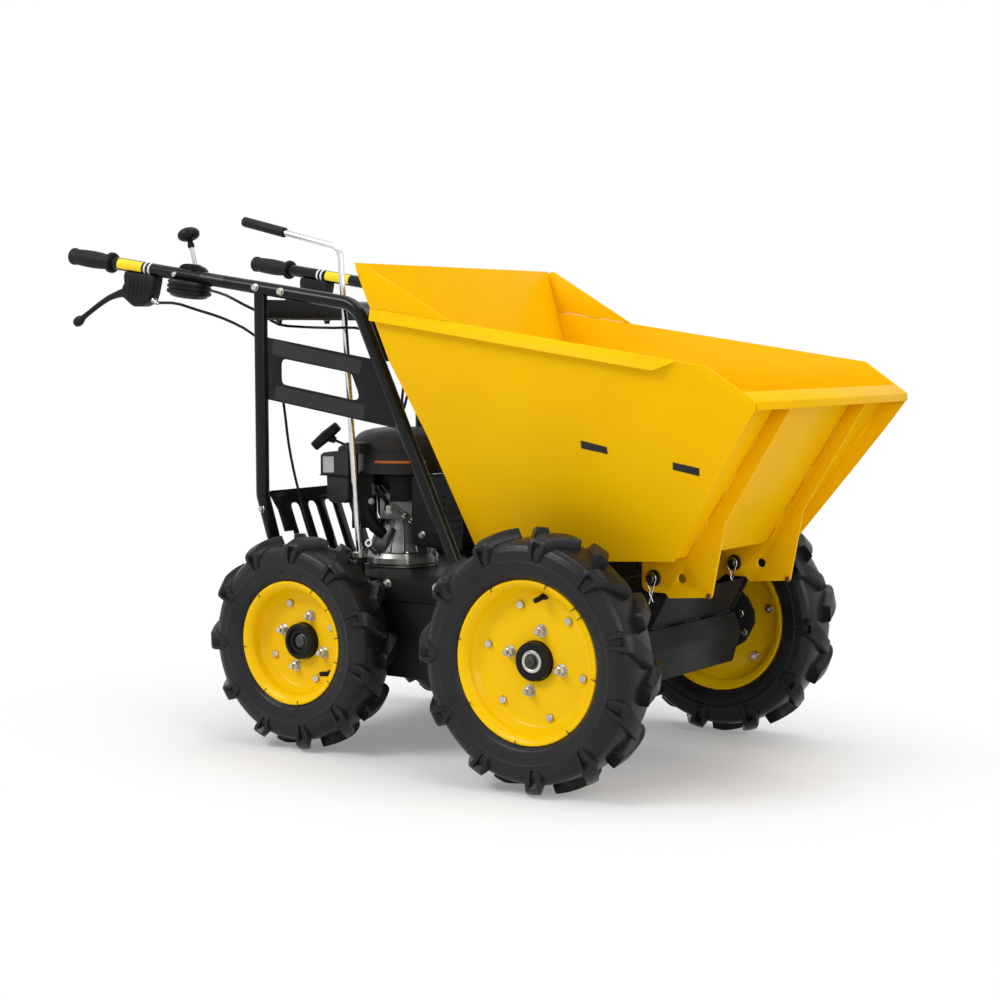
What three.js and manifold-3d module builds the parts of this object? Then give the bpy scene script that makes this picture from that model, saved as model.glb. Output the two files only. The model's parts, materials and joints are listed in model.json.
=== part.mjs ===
// A walk-behind site dumper: four driven wheels, a petrol engine, two handles and a tipping hopper.
// Millimetres. X points forward, Y to the machine's left and Z up. While the pieces are laid out,
// Z = 0 is the ground. X = 0 is above the front axle for the chassis, hopper and front wheels, and
// above the rear axle for the engine, frames and controls, which move with the rear axle. The last
// lines move the origin to the middle of the machine's footprint.
import * as THREE from "three";
import { mergeVertices } from "three/addons/utils/BufferGeometryUtils.js";
import Module from "manifold-3d";

const wasm = await Module();
wasm.setup();

// ---------------------------------------------------------------------------------------------
// Driving dimensions
// ---------------------------------------------------------------------------------------------

const SEAT = 0.3; // gap between two pieces that rest on each other
const RUNNING = 0.5; // radial gap between a shaft and its hole
const LEFT = 1;
const RIGHT = -1;

const WHEELBASE = 576;
const FRONT_WHEEL = {
  track: 660,
  tyreRadius: 225,
  tyreWidth: 105,
  rimWidth: 74,
  flangeRadius: 140,
  seatRadius: 127,
  discFace: 4, // outer face of the disc, outboard of the middle of the rim
  boltCircle: 62,
  hubRadius: 33,
  hubNose: 19, // outer end of the hub, outboard of the middle of the rim
  hubInner: 275, // distance from the machine's middle to the hub's inner end
};
const REAR_WHEEL = {
  track: 512,
  tyreRadius: 201,
  tyreWidth: 98,
  rimWidth: 74,
  flangeRadius: 116,
  seatRadius: 102,
  discFace: -4,
  boltCircle: 60,
  hubRadius: 33,
  hubNose: 14,
  hubInner: 202,
};
const RIM_SHEET = 3.5;
const DISC_SHEET = 5;
const SHAFT_RADIUS = 15;
const SHAFT_INSERT = 16;
const WHEEL_SEGMENTS = 32;

const CHASSIS = { halfWidth: 186, bottom: 139, top: 281.5, overhang: 124, front: -112, chamfer: 26 };
const DECK = { sheet: 4, skirt: 40, top: 322, overhang: 114, front: -60 };

const FRONT_AXLE = { halfWidth: 165, top: 260, bottom: 168, front: 122, rear: -111.7, tubeRadius: 32 };
const END_PLATE = { inner: 262, outer: 270 }; // behind each front wheel's disc
const REAR_BEARING = { radius: 45, outer: 197 };

const PIVOT = { x: 118.5, z: 354, pinRadius: 8, pinLength: 31, headRadius: 12, head: 5 };
const PIVOT_EAR = { right: -138, left: 153, sheet: 5, radius: 21 }; // y of each ear's right face
const PIVOT_PLATE = { topX: 142.5, topZ: 327, bottomX: 113.5, bottomZ: 273, left: 138 };

const SHEET = 3; // hopper sheet
const BACK_WALL = { z: 720.7, x: -340, lean: 0.36 }; // outer face: x falls by lean for each mm of z
const SIDE_FRONT = { z: 394, x: 202, lean: 0.717 }; // front edge of each side panel
const FRONT_WALL = { z: 403, x: 187.7, lean: 0.64 }; // outer face of the inset front wall
const BACK_TOP = 897;
const FLOOR_REAR_Z = 367;
const FLOOR_FRONT_Z = 394;
// Fold lines of a side panel, each from the back wall to its front end: half-width and height.
const RIM_LINE = { rearZ: 816.8, rearY: 302, frontX: 302, frontZ: 720, frontY: 300.5 };
const HIGH_FOLD = { rearZ: 720.7, rearY: 290.5, frontZ: 612.5, frontY: 287.5 };
const LOW_FOLD = { rearZ: 594, rearY: 244, frontZ: 529, frontY: 266 };
const BOTTOM_LINE = { rearZ: FLOOR_REAR_Z, rearY: 190, frontZ: FLOOR_FRONT_Z, frontY: 224.5 };
const LIP = { topRearX: 366, topRearZ: 679, noseX: 388, noseZ: 663, skirtX: 389.5, skirtZ: 650 };
const RIM_FLANGE = { drop: 22, out: 14, endCut: 40 };
const GUSSET_FRONT_X = -198;
const BRACKET = { inner: 143, sheet: 5, depth: 34, boreX: 172.8, boreZ: 356.4, boreRadius: 8.5 };

const TUBE_RADIUS = 12.7;
const HANDLE_RADIUS = 12.4;
const HANDLE_SPIGOT = 10.2; // the reduced end that slides into the frame
const POST = { x: -100, y: 249, top: 857.8, bendZ: 470, endZ: 388, inward: 0.372 };
const SPLAY = THREE.MathUtils.degToRad(2.63); // the frames spread towards the handles
const HANDLE_SLOPE = THREE.MathUtils.degToRad(8.36);
const FRAME_TOP = { rear: -26, corner: 222.4, bend: 60 }; // along the frame from the post
const FRONT_LEG_LEAN = 0.461;
const CROSS_BAR = { z: 342, depth: 20, width: 44, halfLength: 252 };

const GRIP = { rear: -479.5, length: 110, radius: 16, flange: 20.4, flangeLength: 6 };
const LEVER_HOUSING = { rear: -330, front: -253, top: -12, bottom: -73, halfWidth: 15 };
const LEVER_RADIUS = 5.5;
const CONTROL = {
  along: -172,
  capRadius: 34,
  capTop: 23,
  capSide: 2, // the cap covers only the side of the tube away from the operator's hand
  bodyRadius: 43,
  bodyTop: -9,
  bodyBottom: -42,
};
const KNOB = { stemRadius: 4.5, y: 9, bottom: 23.3, lean: -0.41, neck: 68, top: 97, radius: 21 };

const SIDE_PLATE = { topZ: 766, bottomZ: 650, slope: 0.163, sheet: 4 };
const WINDOW = { rear: 34, front: 44, topDrop: 33.5, height: 48, corner: 12 };
const CONSOLE = { top: 836, bottom: 798, sheet: 3, shelf: 60 };
const BACK_PLATE = { bottom: 722, sheet: 3, tail: 40 };
const GUARD = {
  top: 475,
  sheet: 4,
  lean: 0.39,
  ahead: 5, // of the posts' axes, at their bend
  slots: 8,
  bar: 23.5,
  slotTop: 450,
  slotBottom: 346,
};
const GUARD_NOTCH_Z = 399; // just above the rear tyres

const ENGINE = { x: 40, flangeRadius: 70, flangeTop: 352, coverRadius: 97, coverBottom: 505, coverTop: 592 };
const LEVER = { y: -150, baseX: 52, baseZ: 358, cornerX: 11, cornerZ: 933.5, endX: -227, endZ: 989.5 };
const LEVER_ROD_RADIUS = 6;
const LEVER_SLEEVE = { length: 106, radius: 9.8 };
const CABLE_RADIUS = 2.8;

// ---------------------------------------------------------------------------------------------
// Making solids
// ---------------------------------------------------------------------------------------------

// A closed geometry as a manifold-3d solid whose faces point outwards.
function solidOf(geometry) {
  const bare = geometry.clone();
  bare.deleteAttribute("normal");
  bare.deleteAttribute("uv");
  const merged = mergeVertices(bare, 1e-4);
  const source = merged.index.array;
  const kept = [];
  for (let i = 0; i < source.length; i += 3) {
    const [a, b, c] = [source[i], source[i + 1], source[i + 2]];
    if (a !== b && b !== c && c !== a) kept.push(a, b, c);
  }
  const make = (triangles) =>
    new wasm.Manifold(
      new wasm.Mesh({
        numProp: 3,
        vertProperties: new Float32Array(merged.attributes.position.array),
        triVerts: new Uint32Array(triangles),
      }),
    );
  const made = make(kept);
  return made.volume() < 0 ? make(kept.reverse()) : made;
}

function geometryOf(solid) {
  const mesh = solid.getMesh();
  const geometry = new THREE.BufferGeometry();
  geometry.setAttribute("position", new THREE.BufferAttribute(mesh.vertProperties, 3));
  geometry.setIndex(new THREE.BufferAttribute(mesh.triVerts, 1));
  geometry.computeVertexNormals();
  return geometry;
}

function join(...geometries) {
  return geometryOf(geometries.map(solidOf).reduce((a, b) => a.add(b)));
}

function cut(geometry, ...tools) {
  return geometryOf(tools.map(solidOf).reduce((a, b) => a.subtract(b), solidOf(geometry)));
}

function common(a, b) {
  return geometryOf(solidOf(a).intersect(solidOf(b)));
}

// A closed outline of [x, y] points. A point with a third value is rounded with that radius.
function outline(points, Kind = THREE.Shape) {
  const shape = new Kind();
  const count = points.length;
  points.forEach(([x, y, radius = 0], i) => {
    const here = new THREE.Vector2(x, y);
    const before = new THREE.Vector2(...points[(i + count - 1) % count].slice(0, 2)).sub(here);
    const after = new THREE.Vector2(...points[(i + 1) % count].slice(0, 2)).sub(here);
    const half = Math.abs(before.angleTo(after)) / 2;
    const setback = radius / Math.tan(half);
    const start = here.clone().addScaledVector(before.normalize(), setback);
    const end = here.clone().addScaledVector(after.normalize(), setback);
    if (i === 0) shape.moveTo(start.x, start.y);
    else shape.lineTo(start.x, start.y);
    if (radius > 0) shape.quadraticCurveTo(x, y, end.x, end.y);
  });
  shape.closePath();
  return shape;
}

function extrude(shape, depth, curveSegments = 5) {
  return new THREE.ExtrudeGeometry(shape, { depth, bevelEnabled: false, curveSegments });
}

// An outline in X and Z, extruded along Y.
function alongY(shape, low, high, curveSegments) {
  return extrude(shape, high - low, curveSegments).rotateX(Math.PI / 2).translate(0, high, 0);
}

// An outline in Y and Z, extruded along X.
function alongX(shape, low, high, curveSegments) {
  const turn = new THREE.Matrix4().makeBasis(
    new THREE.Vector3(0, 1, 0),
    new THREE.Vector3(0, 0, 1),
    new THREE.Vector3(1, 0, 0),
  );
  return extrude(shape, high - low, curveSegments).applyMatrix4(turn).translate(low, 0, 0);
}

function box(x0, x1, y0, y1, z0, z1) {
  return new THREE.BoxGeometry(x1 - x0, y1 - y0, z1 - z0).translate(
    (x0 + x1) / 2,
    (y0 + y1) / 2,
    (z0 + z1) / 2,
  );
}

// A solid of revolution about Y. The profile is a closed loop of [radius, y] points.
function turnedY(profile, segments = 40) {
  const points = [...profile, profile[0]].map(([r, y]) => new THREE.Vector2(r, y));
  return geometryOf(solidOf(new THREE.LatheGeometry(points, segments)));
}

function turnedZ(profile, segments = 32) {
  return turnedY(profile, segments).rotateX(Math.PI / 2);
}

function rodY(radius, low, high, x = 0, z = 0, segments = 24) {
  return new THREE.CylinderGeometry(radius, radius, high - low, segments).translate(x, (low + high) / 2, z);
}

function rodZ(radius, low, high, segments = 24) {
  return new THREE.CylinderGeometry(radius, radius, high - low, segments)
    .rotateX(Math.PI / 2)
    .translate(0, 0, (low + high) / 2);
}

// A path with stations of its own: long straight legs take one step, bends take several.
class StationPath extends THREE.Curve {
  constructor(stations) {
    super();
    this.stations = stations;
  }
  stationAt(u) {
    return this.stations[Math.round(u * (this.stations.length - 1))];
  }
  getPoint(u, target = new THREE.Vector3()) {
    return target.copy(this.stationAt(u).point);
  }
  getPointAt(u, target = new THREE.Vector3()) {
    return this.getPoint(u, target);
  }
  getTangentAt(u, target = new THREE.Vector3()) {
    return target.copy(this.stationAt(u).tangent);
  }
  getSpacedPoints(divisions) {
    return Array.from({ length: divisions + 1 }, (_, i) => this.getPoint(i / divisions));
  }
}

// Straight legs between corners [x, y, z], with each inner corner bent to its radius.
function bentPath(corners, bends, steps = 6) {
  const points = corners.map((c) => new THREE.Vector3(...c));
  const way = (a, b) => b.clone().sub(a).normalize();
  const stations = [{ point: points[0], tangent: way(points[0], points[1]) }];
  for (let i = 1; i < points.length - 1; i += 1) {
    const before = way(points[i - 1], points[i]);
    const after = way(points[i], points[i + 1]);
    const setback = bends[i - 1] * Math.tan(before.angleTo(after) / 2);
    const arc = new THREE.QuadraticBezierCurve3(
      points[i].clone().addScaledVector(before, -setback),
      points[i],
      points[i].clone().addScaledVector(after, setback),
    );
    for (let s = 0; s <= steps; s += 1)
      stations.push({ point: arc.getPoint(s / steps), tangent: arc.getTangent(s / steps) });
  }
  const last = points.length - 1;
  stations.push({ point: points[last], tangent: way(points[last - 1], points[last]) });
  return new StationPath(stations);
}

function circle(radius, sides) {
  return new THREE.Shape(
    Array.from({ length: sides }, (_, i) => {
      const turn = (2 * Math.PI * i) / sides;
      return new THREE.Vector2(radius * Math.cos(turn), radius * Math.sin(turn));
    }),
  );
}

function bentRod(corners, bends, radius, sides = 16, steps = 6) {
  const path = bentPath(corners, bends, steps);
  return new THREE.ExtrudeGeometry(circle(radius, sides), {
    steps: path.stations.length - 1,
    extrudePath: path,
    bevelEnabled: false,
  });
}

function cable(points, steps) {
  const route = new THREE.CatmullRomCurve3(points.map((p) => new THREE.Vector3(...p)));
  return new THREE.ExtrudeGeometry(circle(CABLE_RADIUS, 6), {
    steps,
    extrudePath: route,
    bevelEnabled: false,
  });
}

// A sheet of facets that share the points of their folds, thickened by one offset.
function foldedSheet(facets, offset) {
  const ids = new Map();
  const positions = [];
  const idOf = (point) => {
    const key = point.map((v) => v.toFixed(3)).join();
    if (!ids.has(key)) {
      ids.set(key, ids.size);
      positions.push(point);
    }
    return ids.get(key);
  };
  const front = facets.flatMap((facet) => {
    const corners = facet.map(idOf);
    return corners.slice(2).map((c, i) => [corners[0], corners[i + 1], c]);
  });
  const count = positions.length;
  const edges = new Set(front.flatMap(([a, b, c]) => [`${a},${b}`, `${b},${c}`, `${c},${a}`]));
  const rims = [...edges]
    .map((edge) => edge.split(",").map(Number))
    .filter(([a, b]) => !edges.has(`${b},${a}`))
    .flatMap(([a, b]) => [
      [b, a, a + count],
      [b, a + count, b + count],
    ]);
  const back = front.map(([a, b, c]) => [a + count, c + count, b + count]);
  const moved = positions.map((p) => p.map((v, i) => v + offset[i]));
  const geometry = new THREE.BufferGeometry();
  geometry.setAttribute(
    "position",
    new THREE.Float32BufferAttribute([...positions, ...moved].flat(), 3),
  );
  geometry.setIndex([...front, ...back, ...rims].flat());
  return geometryOf(solidOf(geometry));
}

// ---------------------------------------------------------------------------------------------
// Materials and scene helpers
// ---------------------------------------------------------------------------------------------

const YELLOW = { color: 0xf5c400, roughness: 0.4, metalness: 0.0 };
const BLACK = { color: 0x141416, roughness: 0.35, metalness: 0.3 };
const RUBBER = { color: 0x18191c, roughness: 0.75, metalness: 0.0 };
const PLASTIC = { color: 0x232326, roughness: 0.55, metalness: 0.0 };
const CAST = { color: 0x77777a, roughness: 0.5, metalness: 0.7 };
const CHROME = { color: 0xdadada, roughness: 0.12, metalness: 1.0 };
const ZINC = { color: 0xb0b2b4, roughness: 0.35, metalness: 0.9 };

function add(group, name, geometry, look) {
  const mesh = new THREE.Mesh(geometry, new THREE.MeshStandardMaterial(look));
  mesh.name = name;
  group.add(mesh);
}

const sideName = (side) => (side === LEFT ? "left" : "right");

// A piece is drawn on the left; the right one is mirrored over the X-Z plane.
function toSide(geometry, side) {
  if (side === LEFT) return geometry;
  return geometryOf(solidOf(geometry.clone().scale(1, -1, 1)));
}

// ---------------------------------------------------------------------------------------------
// Wheels: Y points outboard on the left wheel, and the right one is turned round
// ---------------------------------------------------------------------------------------------

function tyre(w) {
  const half = w.rimWidth / 2;
  const side = w.tyreWidth / 2;
  const bead = half - 3.6;
  const wall = w.tyreRadius - w.flangeRadius;
  const right = [
    [w.seatRadius + SEAT, bead],
    [w.flangeRadius + 2, bead],
    [w.flangeRadius + 0.3 * wall, side - 3],
    [w.flangeRadius + 0.55 * wall, side],
    [w.flangeRadius + 0.9 * wall, side - 9],
    [w.tyreRadius, side - 30],
  ];
  const left = right.slice().reverse().map(([r, y]) => [r, -y]);
  return turnedY([...right, ...left], WHEEL_SEGMENTS);
}

function rim(w) {
  const half = w.rimWidth / 2;
  const well = w.seatRadius - RIM_SHEET;
  const inner = w.discFace - DISC_SHEET;
  return turnedY(
    [
      [w.flangeRadius, half],
      [w.flangeRadius, half - 3],
      [w.seatRadius, half - 3.3],
      [w.seatRadius, 3.3 - half],
      [w.flangeRadius, 3 - half],
      [w.flangeRadius, -half],
      [well, -half],
      [well, inner],
      [w.hubRadius + RUNNING, inner],
      [w.hubRadius + RUNNING, w.discFace],
      [well, w.discFace],
      [well, half],
    ],
    WHEEL_SEGMENTS,
  );
}

function hub(w) {
  const back = w.discFace - DISC_SHEET - SEAT;
  const inner = w.hubInner - w.track / 2;
  return turnedY([
    [0, inner - SHAFT_INSERT],
    [SHAFT_RADIUS, inner - SHAFT_INSERT],
    [SHAFT_RADIUS, inner],
    [w.hubRadius - 5, inner],
    [w.hubRadius - 5, back - 10],
    [w.boltCircle, back - 10],
    [w.boltCircle, back],
    [w.hubRadius, back],
    [w.hubRadius, w.hubNose],
    [0, w.hubNose],
  ], 24);
}

function wheel(root, place, w, x, side) {
  const group = new THREE.Group();
  group.position.set(x, (side * w.track) / 2, w.tyreRadius);
  if (side === RIGHT) group.rotation.x = Math.PI;
  const name = `${place}_${sideName(side)}`;
  add(group, `tyre_${name}`, tyre(w), RUBBER);
  add(group, `rim_${name}`, rim(w), YELLOW);
  add(group, `hub_${name}`, hub(w), BLACK);
  root.add(group);
}

// ---------------------------------------------------------------------------------------------
// Chassis
// ---------------------------------------------------------------------------------------------

function shaftBore(w, x, side) {
  const inner = side * (w.hubInner - SHAFT_INSERT - 1);
  const outer = side * w.hubInner;
  return rodY(
    SHAFT_RADIUS + RUNNING,
    Math.min(inner, outer),
    Math.max(inner, outer),
    x,
    w.tyreRadius,
  );
}

// The welded gearbox and chain case between the axles, with the rear wheels' bearing flanges.
function chassisCase() {
  const c = CHASSIS;
  const rear = -WHEELBASE - c.overhang;
  const profile = outline([
    [rear, c.top],
    [rear, c.bottom + c.chamfer],
    [rear + c.chamfer, c.bottom],
    [c.front, c.bottom],
    [c.front, c.top],
  ]);
  const bearing = rodY(
    REAR_BEARING.radius,
    -REAR_BEARING.outer,
    REAR_BEARING.outer,
    -WHEELBASE,
    REAR_WHEEL.tyreRadius,
    24,
  );
  return cut(
    join(alongY(profile, -c.halfWidth, c.halfWidth), bearing),
    shaftBore(REAR_WHEEL, -WHEELBASE, LEFT),
    shaftBore(REAR_WHEEL, -WHEELBASE, RIGHT),
  );
}

// The engine deck: a folded tray turned upside down over the case.
function engineDeck() {
  const d = DECK;
  const inner = CHASSIS.halfWidth + SEAT;
  const outer = inner + d.sheet;
  const under = CHASSIS.top + SEAT;
  const section = outline([
    [-outer, d.top],
    [-outer, d.top - d.skirt],
    [-inner, d.top - d.skirt],
    [-inner, under],
    [inner, under],
    [inner, d.top - d.skirt],
    [outer, d.top - d.skirt],
    [outer, d.top],
  ]);
  return alongX(section, -WHEELBASE - d.overhang, d.front);
}

function frontAxle() {
  const a = FRONT_AXLE;
  const axleZ = FRONT_WHEEL.tyreRadius;
  const profile = outline([
    [a.rear + 20, a.top],
    [a.rear, a.top - 24],
    [a.rear, a.bottom + 24],
    [a.rear + 20, a.bottom],
    [a.front - 18, a.bottom],
    [a.front, axleZ],
    [a.front - 14, a.top],
  ]);
  const half = [
    [96, 0],
    [95, 22],
    [82, 48],
    [62, 62],
    [-62, 62],
    [-82, 48],
    [-95, 22],
    [-96, 0],
    [-76, -36],
    [-47, -53],
    [-28, -80],
    [28, -80],
    [47, -53],
    [76, -36],
  ];
  const plateShape = outline(half.map(([x, z]) => [x, axleZ + z, 14]));
  const sides = [LEFT, RIGHT].map((side) => {
    const near = side * END_PLATE.inner;
    const far = side * END_PLATE.outer;
    return alongY(plateShape, Math.min(near, far), Math.max(near, far), 3);
  });
  const tube = rodY(a.tubeRadius, -END_PLATE.outer, END_PLATE.outer, 0, axleZ, 20);
  return cut(
    join(alongY(profile, -a.halfWidth, a.halfWidth), tube, ...sides),
    shaftBore(FRONT_WHEEL, 0, LEFT),
    shaftBore(FRONT_WHEEL, 0, RIGHT),
  );
}

// The hopper's support on the front axle: two ears that carry the pins, on one foot, and a leaning
// plate that stops short of the left ear, where the hopper's left bracket swings past.
function pivotBracket() {
  const p = PIVOT_PLATE;
  const ear = PIVOT_EAR;
  const foot = FRONT_AXLE.top + SEAT;
  const lean = (p.topX - p.bottomX) / (p.topZ - p.bottomZ);
  const plate = outline([
    [p.topX, p.topZ],
    [p.topX - ear.sheet, p.topZ],
    [p.bottomX - ear.sheet, p.bottomZ],
    [p.bottomX - 30, foot],
    [p.bottomX - 10, foot],
    [p.bottomX, p.bottomZ],
  ]);
  const earOutline = outline([
    [p.bottomX - 10, foot],
    [p.bottomX, p.bottomZ],
    [p.topX, p.topZ],
    [PIVOT.x + ear.radius, PIVOT.z - ear.radius * lean],
    [PIVOT.x + ear.radius, PIVOT.z + ear.radius, ear.radius * 0.8],
    [PIVOT.x - ear.radius, PIVOT.z + ear.radius, ear.radius * 0.8],
    [PIVOT.x - ear.radius, PIVOT.z - ear.radius],
    [p.bottomX - 85, foot + 20],
    [p.bottomX - 85, foot],
  ]);
  const sole = outline([
    [p.bottomX - 85, foot],
    [p.bottomX - 14, foot],
    [p.bottomX - 14, foot + ear.sheet],
    [p.bottomX - 85, foot + ear.sheet],
  ]);
  const pinHole = rodY(PIVOT.pinRadius + RUNNING, ear.right - 1, ear.left + ear.sheet + 1, PIVOT.x, PIVOT.z);
  return cut(
    join(
      alongY(plate, ear.right, p.left),
      alongY(sole, ear.right, ear.left + ear.sheet),
      alongY(earOutline, ear.right, ear.right + ear.sheet),
      alongY(earOutline, ear.left, ear.left + ear.sheet),
    ),
    pinHole,
  );
}

// Both pins go in from the machine's left, so the left one reaches through the ear first.
function pivotPin(side) {
  const ear = side === LEFT ? PIVOT_EAR.left + PIVOT_EAR.sheet : PIVOT_EAR.right + PIVOT_EAR.sheet;
  const head = ear + SEAT;
  const tip = ear - PIVOT.pinLength;
  return join(
    rodY(PIVOT.pinRadius, tip, head + PIVOT.head, PIVOT.x, PIVOT.z),
    rodY(PIVOT.headRadius, head, head + PIVOT.head, PIVOT.x, PIVOT.z),
  );
}

// ---------------------------------------------------------------------------------------------
// Hopper
// ---------------------------------------------------------------------------------------------

const onSlope = (slope, z) => slope.x + slope.lean * (z - slope.z);
const backX = (z) => BACK_WALL.x - BACK_WALL.lean * (z - BACK_WALL.z);
const sideFrontX = (z) => onSlope(SIDE_FRONT, z);
const frontWallX = (z) => onSlope(FRONT_WALL, z);

// The two ends of a fold line, as [x, half-width, z].
function foldEnds(line) {
  return {
    rear: [backX(line.rearZ), line.rearY, line.rearZ],
    front: [line.frontX ?? sideFrontX(line.frontZ), line.frontY, line.frontZ],
  };
}

const FOLDS = [RIM_LINE, HIGH_FOLD, LOW_FOLD, BOTTOM_LINE].map(foldEnds);

function foldAt(ends, x) {
  const t = (x - ends.rear[0]) / (ends.front[0] - ends.rear[0]);
  return ends.rear.map((v, i) => v + t * (ends.front[i] - v));
}

// The upper panel carried on in its own plane, at x and height z.
function upperPanelY(x, z) {
  const rimPoint = foldAt(FOLDS[0], x);
  const foldPoint = foldAt(FOLDS[1], x);
  const lean = (rimPoint[1] - foldPoint[1]) / (rimPoint[2] - foldPoint[2]);
  return rimPoint[1] + lean * (z - rimPoint[2]);
}

// Everything between the two side panels, as one convex block that the other panels are cut to.
function betweenSides() {
  const clear = SHEET + SEAT;
  const top = BACK_TOP + 20;
  const section = (x) => {
    const levels = [[x, upperPanelY(x, top), top], ...FOLDS.slice(1).map((f) => foldAt(f, x))];
    const low = levels[levels.length - 1];
    levels.push([x, low[1] - 12, low[2] - 40]);
    const right = levels.map(([px, y, z]) => [px, clear - y, z]);
    const left = levels.map(([px, y, z]) => [px, y - clear, z]).reverse();
    return [...right, ...left];
  };
  const rear = section(-430);
  const front = section(430);
  const count = rear.length;
  const geometry = new THREE.BufferGeometry();
  geometry.setAttribute("position", new THREE.Float32BufferAttribute([...rear, ...front].flat(), 3));
  const index = [];
  for (let i = 0; i < count; i += 1) {
    const next = (i + 1) % count;
    // each warped quad is split from its rear lower to its front upper corner, on both sides
    if (i < count / 2) index.push(i, next, i + count, next, next + count, i + count);
    else index.push(i, next, next + count, i, next + count, i + count);
    if (i > 0 && i < count - 1) {
      index.push(0, i + 1, i);
      index.push(count, count + i, count + i + 1);
    }
  }
  geometry.setIndex(index);
  return geometryOf(solidOf(geometry));
}

function hopperSide(side) {
  const [rimEnds, high, low, bottom] = FOLDS;
  const nose = [LIP.noseX, upperPanelY(LIP.noseX, LIP.noseZ), LIP.noseZ];
  const noseFoot = [sideFrontX(LIP.skirtZ), upperPanelY(sideFrontX(LIP.skirtZ), LIP.skirtZ), LIP.skirtZ];
  const panel = foldedSheet(
    [
      [rimEnds.rear, rimEnds.front, nose, noseFoot, high.front, high.rear],
      [high.rear, high.front, low.front, low.rear],
      [low.rear, low.front, bottom.front, bottom.rear],
    ],
    [0, -SHEET, 0],
  );
  // The top edge is folded out and down along the rim, and cut back at its front end.
  const { drop, out, endCut } = RIM_FLANGE;
  const [rx, ry, rz] = rimEnds.rear;
  const front = foldAt(rimEnds, rimEnds.front[0] - 52);
  const lower = foldAt(rimEnds, front[0] - endCut);
  const flange = foldedSheet(
    [
      [
        [rx, ry, rz],
        front,
        [lower[0], lower[1] + out, lower[2] - drop],
        [rx + drop * BACK_WALL.lean, ry + out, rz - drop],
      ],
    ],
    [0, -SHEET, 0],
  );
  return toSide(join(panel, flange), side);
}

function hopperGusset(side) {
  const rear = FOLDS[0].rear;
  const front = foldAt(FOLDS[0], GUSSET_FRONT_X);
  const rise = 0.5;
  const corner = 13;
  const top = BACK_TOP;
  const at = (x, z) => [x, upperPanelY(x, z), z];
  const plate = foldedSheet(
    [
      [
        at(rear[0], rear[2] + rise),
        at(front[0], front[2] + rise),
        at(backX(top) + 2.6 * corner, top - 0.75 * corner),
        at(backX(top) + 1.3 * corner, top),
        at(backX(top) + 0.35 * corner, top - 0.2 * corner),
        at(backX(top - corner), top - corner),
      ],
    ],
    [0, -SHEET, 0],
  );
  return toSide(plate, side);
}

// A flat wall seen from the side: outer face from low to high, thickened inwards.
function wallProfile(slopeX, low, high, inward) {
  return outline([
    [slopeX(low), low],
    [slopeX(low) + inward, low],
    [slopeX(high) + inward, high],
    [slopeX(high), high],
  ]);
}

function hopperBack() {
  const level = SHEET * Math.hypot(1, BACK_WALL.lean);
  const profile = wallProfile(backX, FLOOR_REAR_Z, BACK_TOP, level);
  return common(alongY(profile, -400, 400), betweenSides());
}

function hopperFloor() {
  const rear = backX(FLOOR_REAR_Z) + SHEET * Math.hypot(1, BACK_WALL.lean) + SEAT;
  const front = frontWallX(FLOOR_FRONT_Z) - SHEET * 1.2 - SEAT;
  const profile = outline([
    [rear, FLOOR_REAR_Z],
    [front, FLOOR_FRONT_Z],
    [front, FLOOR_FRONT_Z + SHEET],
    [rear, FLOOR_REAR_Z + SHEET],
  ]);
  return common(alongY(profile, -400, 400), betweenSides());
}

function hopperFront() {
  const level = -SHEET * 1.2;
  const low = FLOOR_FRONT_Z;
  const profile = outline([
    [frontWallX(low), low],
    [frontWallX(LIP.topRearZ - 5), LIP.topRearZ - 5],
    [LIP.noseX - 2.5, LIP.noseZ - 2],
    [LIP.skirtX - 3, LIP.skirtZ],
    [LIP.skirtX, LIP.skirtZ],
    [LIP.noseX, LIP.noseZ],
    [LIP.topRearX - 1, LIP.topRearZ],
    [frontWallX(LIP.topRearZ) + level, LIP.topRearZ - 1],
    [frontWallX(low) + level, low],
  ]);
  return common(alongY(profile, -400, 400), betweenSides());
}

// A stiffener on the front wall that carries on below the floor as the pivot bracket.
function hopperBracket(side) {
  const b = BRACKET;
  const top = LIP.skirtZ - 3;
  const under = (x) => {
    const rear = backX(FLOOR_REAR_Z);
    const front = frontWallX(FLOOR_FRONT_Z);
    return FLOOR_REAR_Z + ((x - rear) * (FLOOR_FRONT_Z - FLOOR_REAR_Z)) / (front - rear) - SEAT;
  };
  const wall = (z) => frontWallX(z) + 0.5;
  const profile = outline([
    [wall(top), top],
    [wall(top) + b.depth - 5, top],
    [wall(455) + b.depth, 455, 20],
    [PIVOT.x + 112, PIVOT.z - 26, 4],
    [PIVOT.x + 30, PIVOT.z - 33],
    [PIVOT.x + 23, PIVOT.z - 24.5],
    [PIVOT.x - 23.5, PIVOT.z - 24.5, 16],
    [PIVOT.x - 23.5, under(PIVOT.x - 23.5)],
    [wall(FLOOR_FRONT_Z) - 4, under(wall(FLOOR_FRONT_Z) - 4)],
    [wall(FLOOR_FRONT_Z), FLOOR_FRONT_Z - 1],
  ]);
  const holes = [
    rodY(PIVOT.pinRadius + RUNNING, b.inner - 1, b.inner + b.sheet + 1, PIVOT.x, PIVOT.z),
    rodY(b.boreRadius, b.inner - 1, b.inner + b.sheet + 1, b.boreX, b.boreZ),
  ];
  const plate = cut(alongY(profile, b.inner, b.inner + b.sheet), ...holes);
  return toSide(plate, side);
}

// ---------------------------------------------------------------------------------------------
// Handle frames: planar, laid out in x along the frame from the rear post and z up
// ---------------------------------------------------------------------------------------------

const topZ = (x) => POST.top - Math.tan(HANDLE_SLOPE) * x;

function frontLegX(z) {
  return FRAME_TOP.corner + FRONT_LEG_LEAN * (topZ(FRAME_TOP.corner) - z);
}

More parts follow.
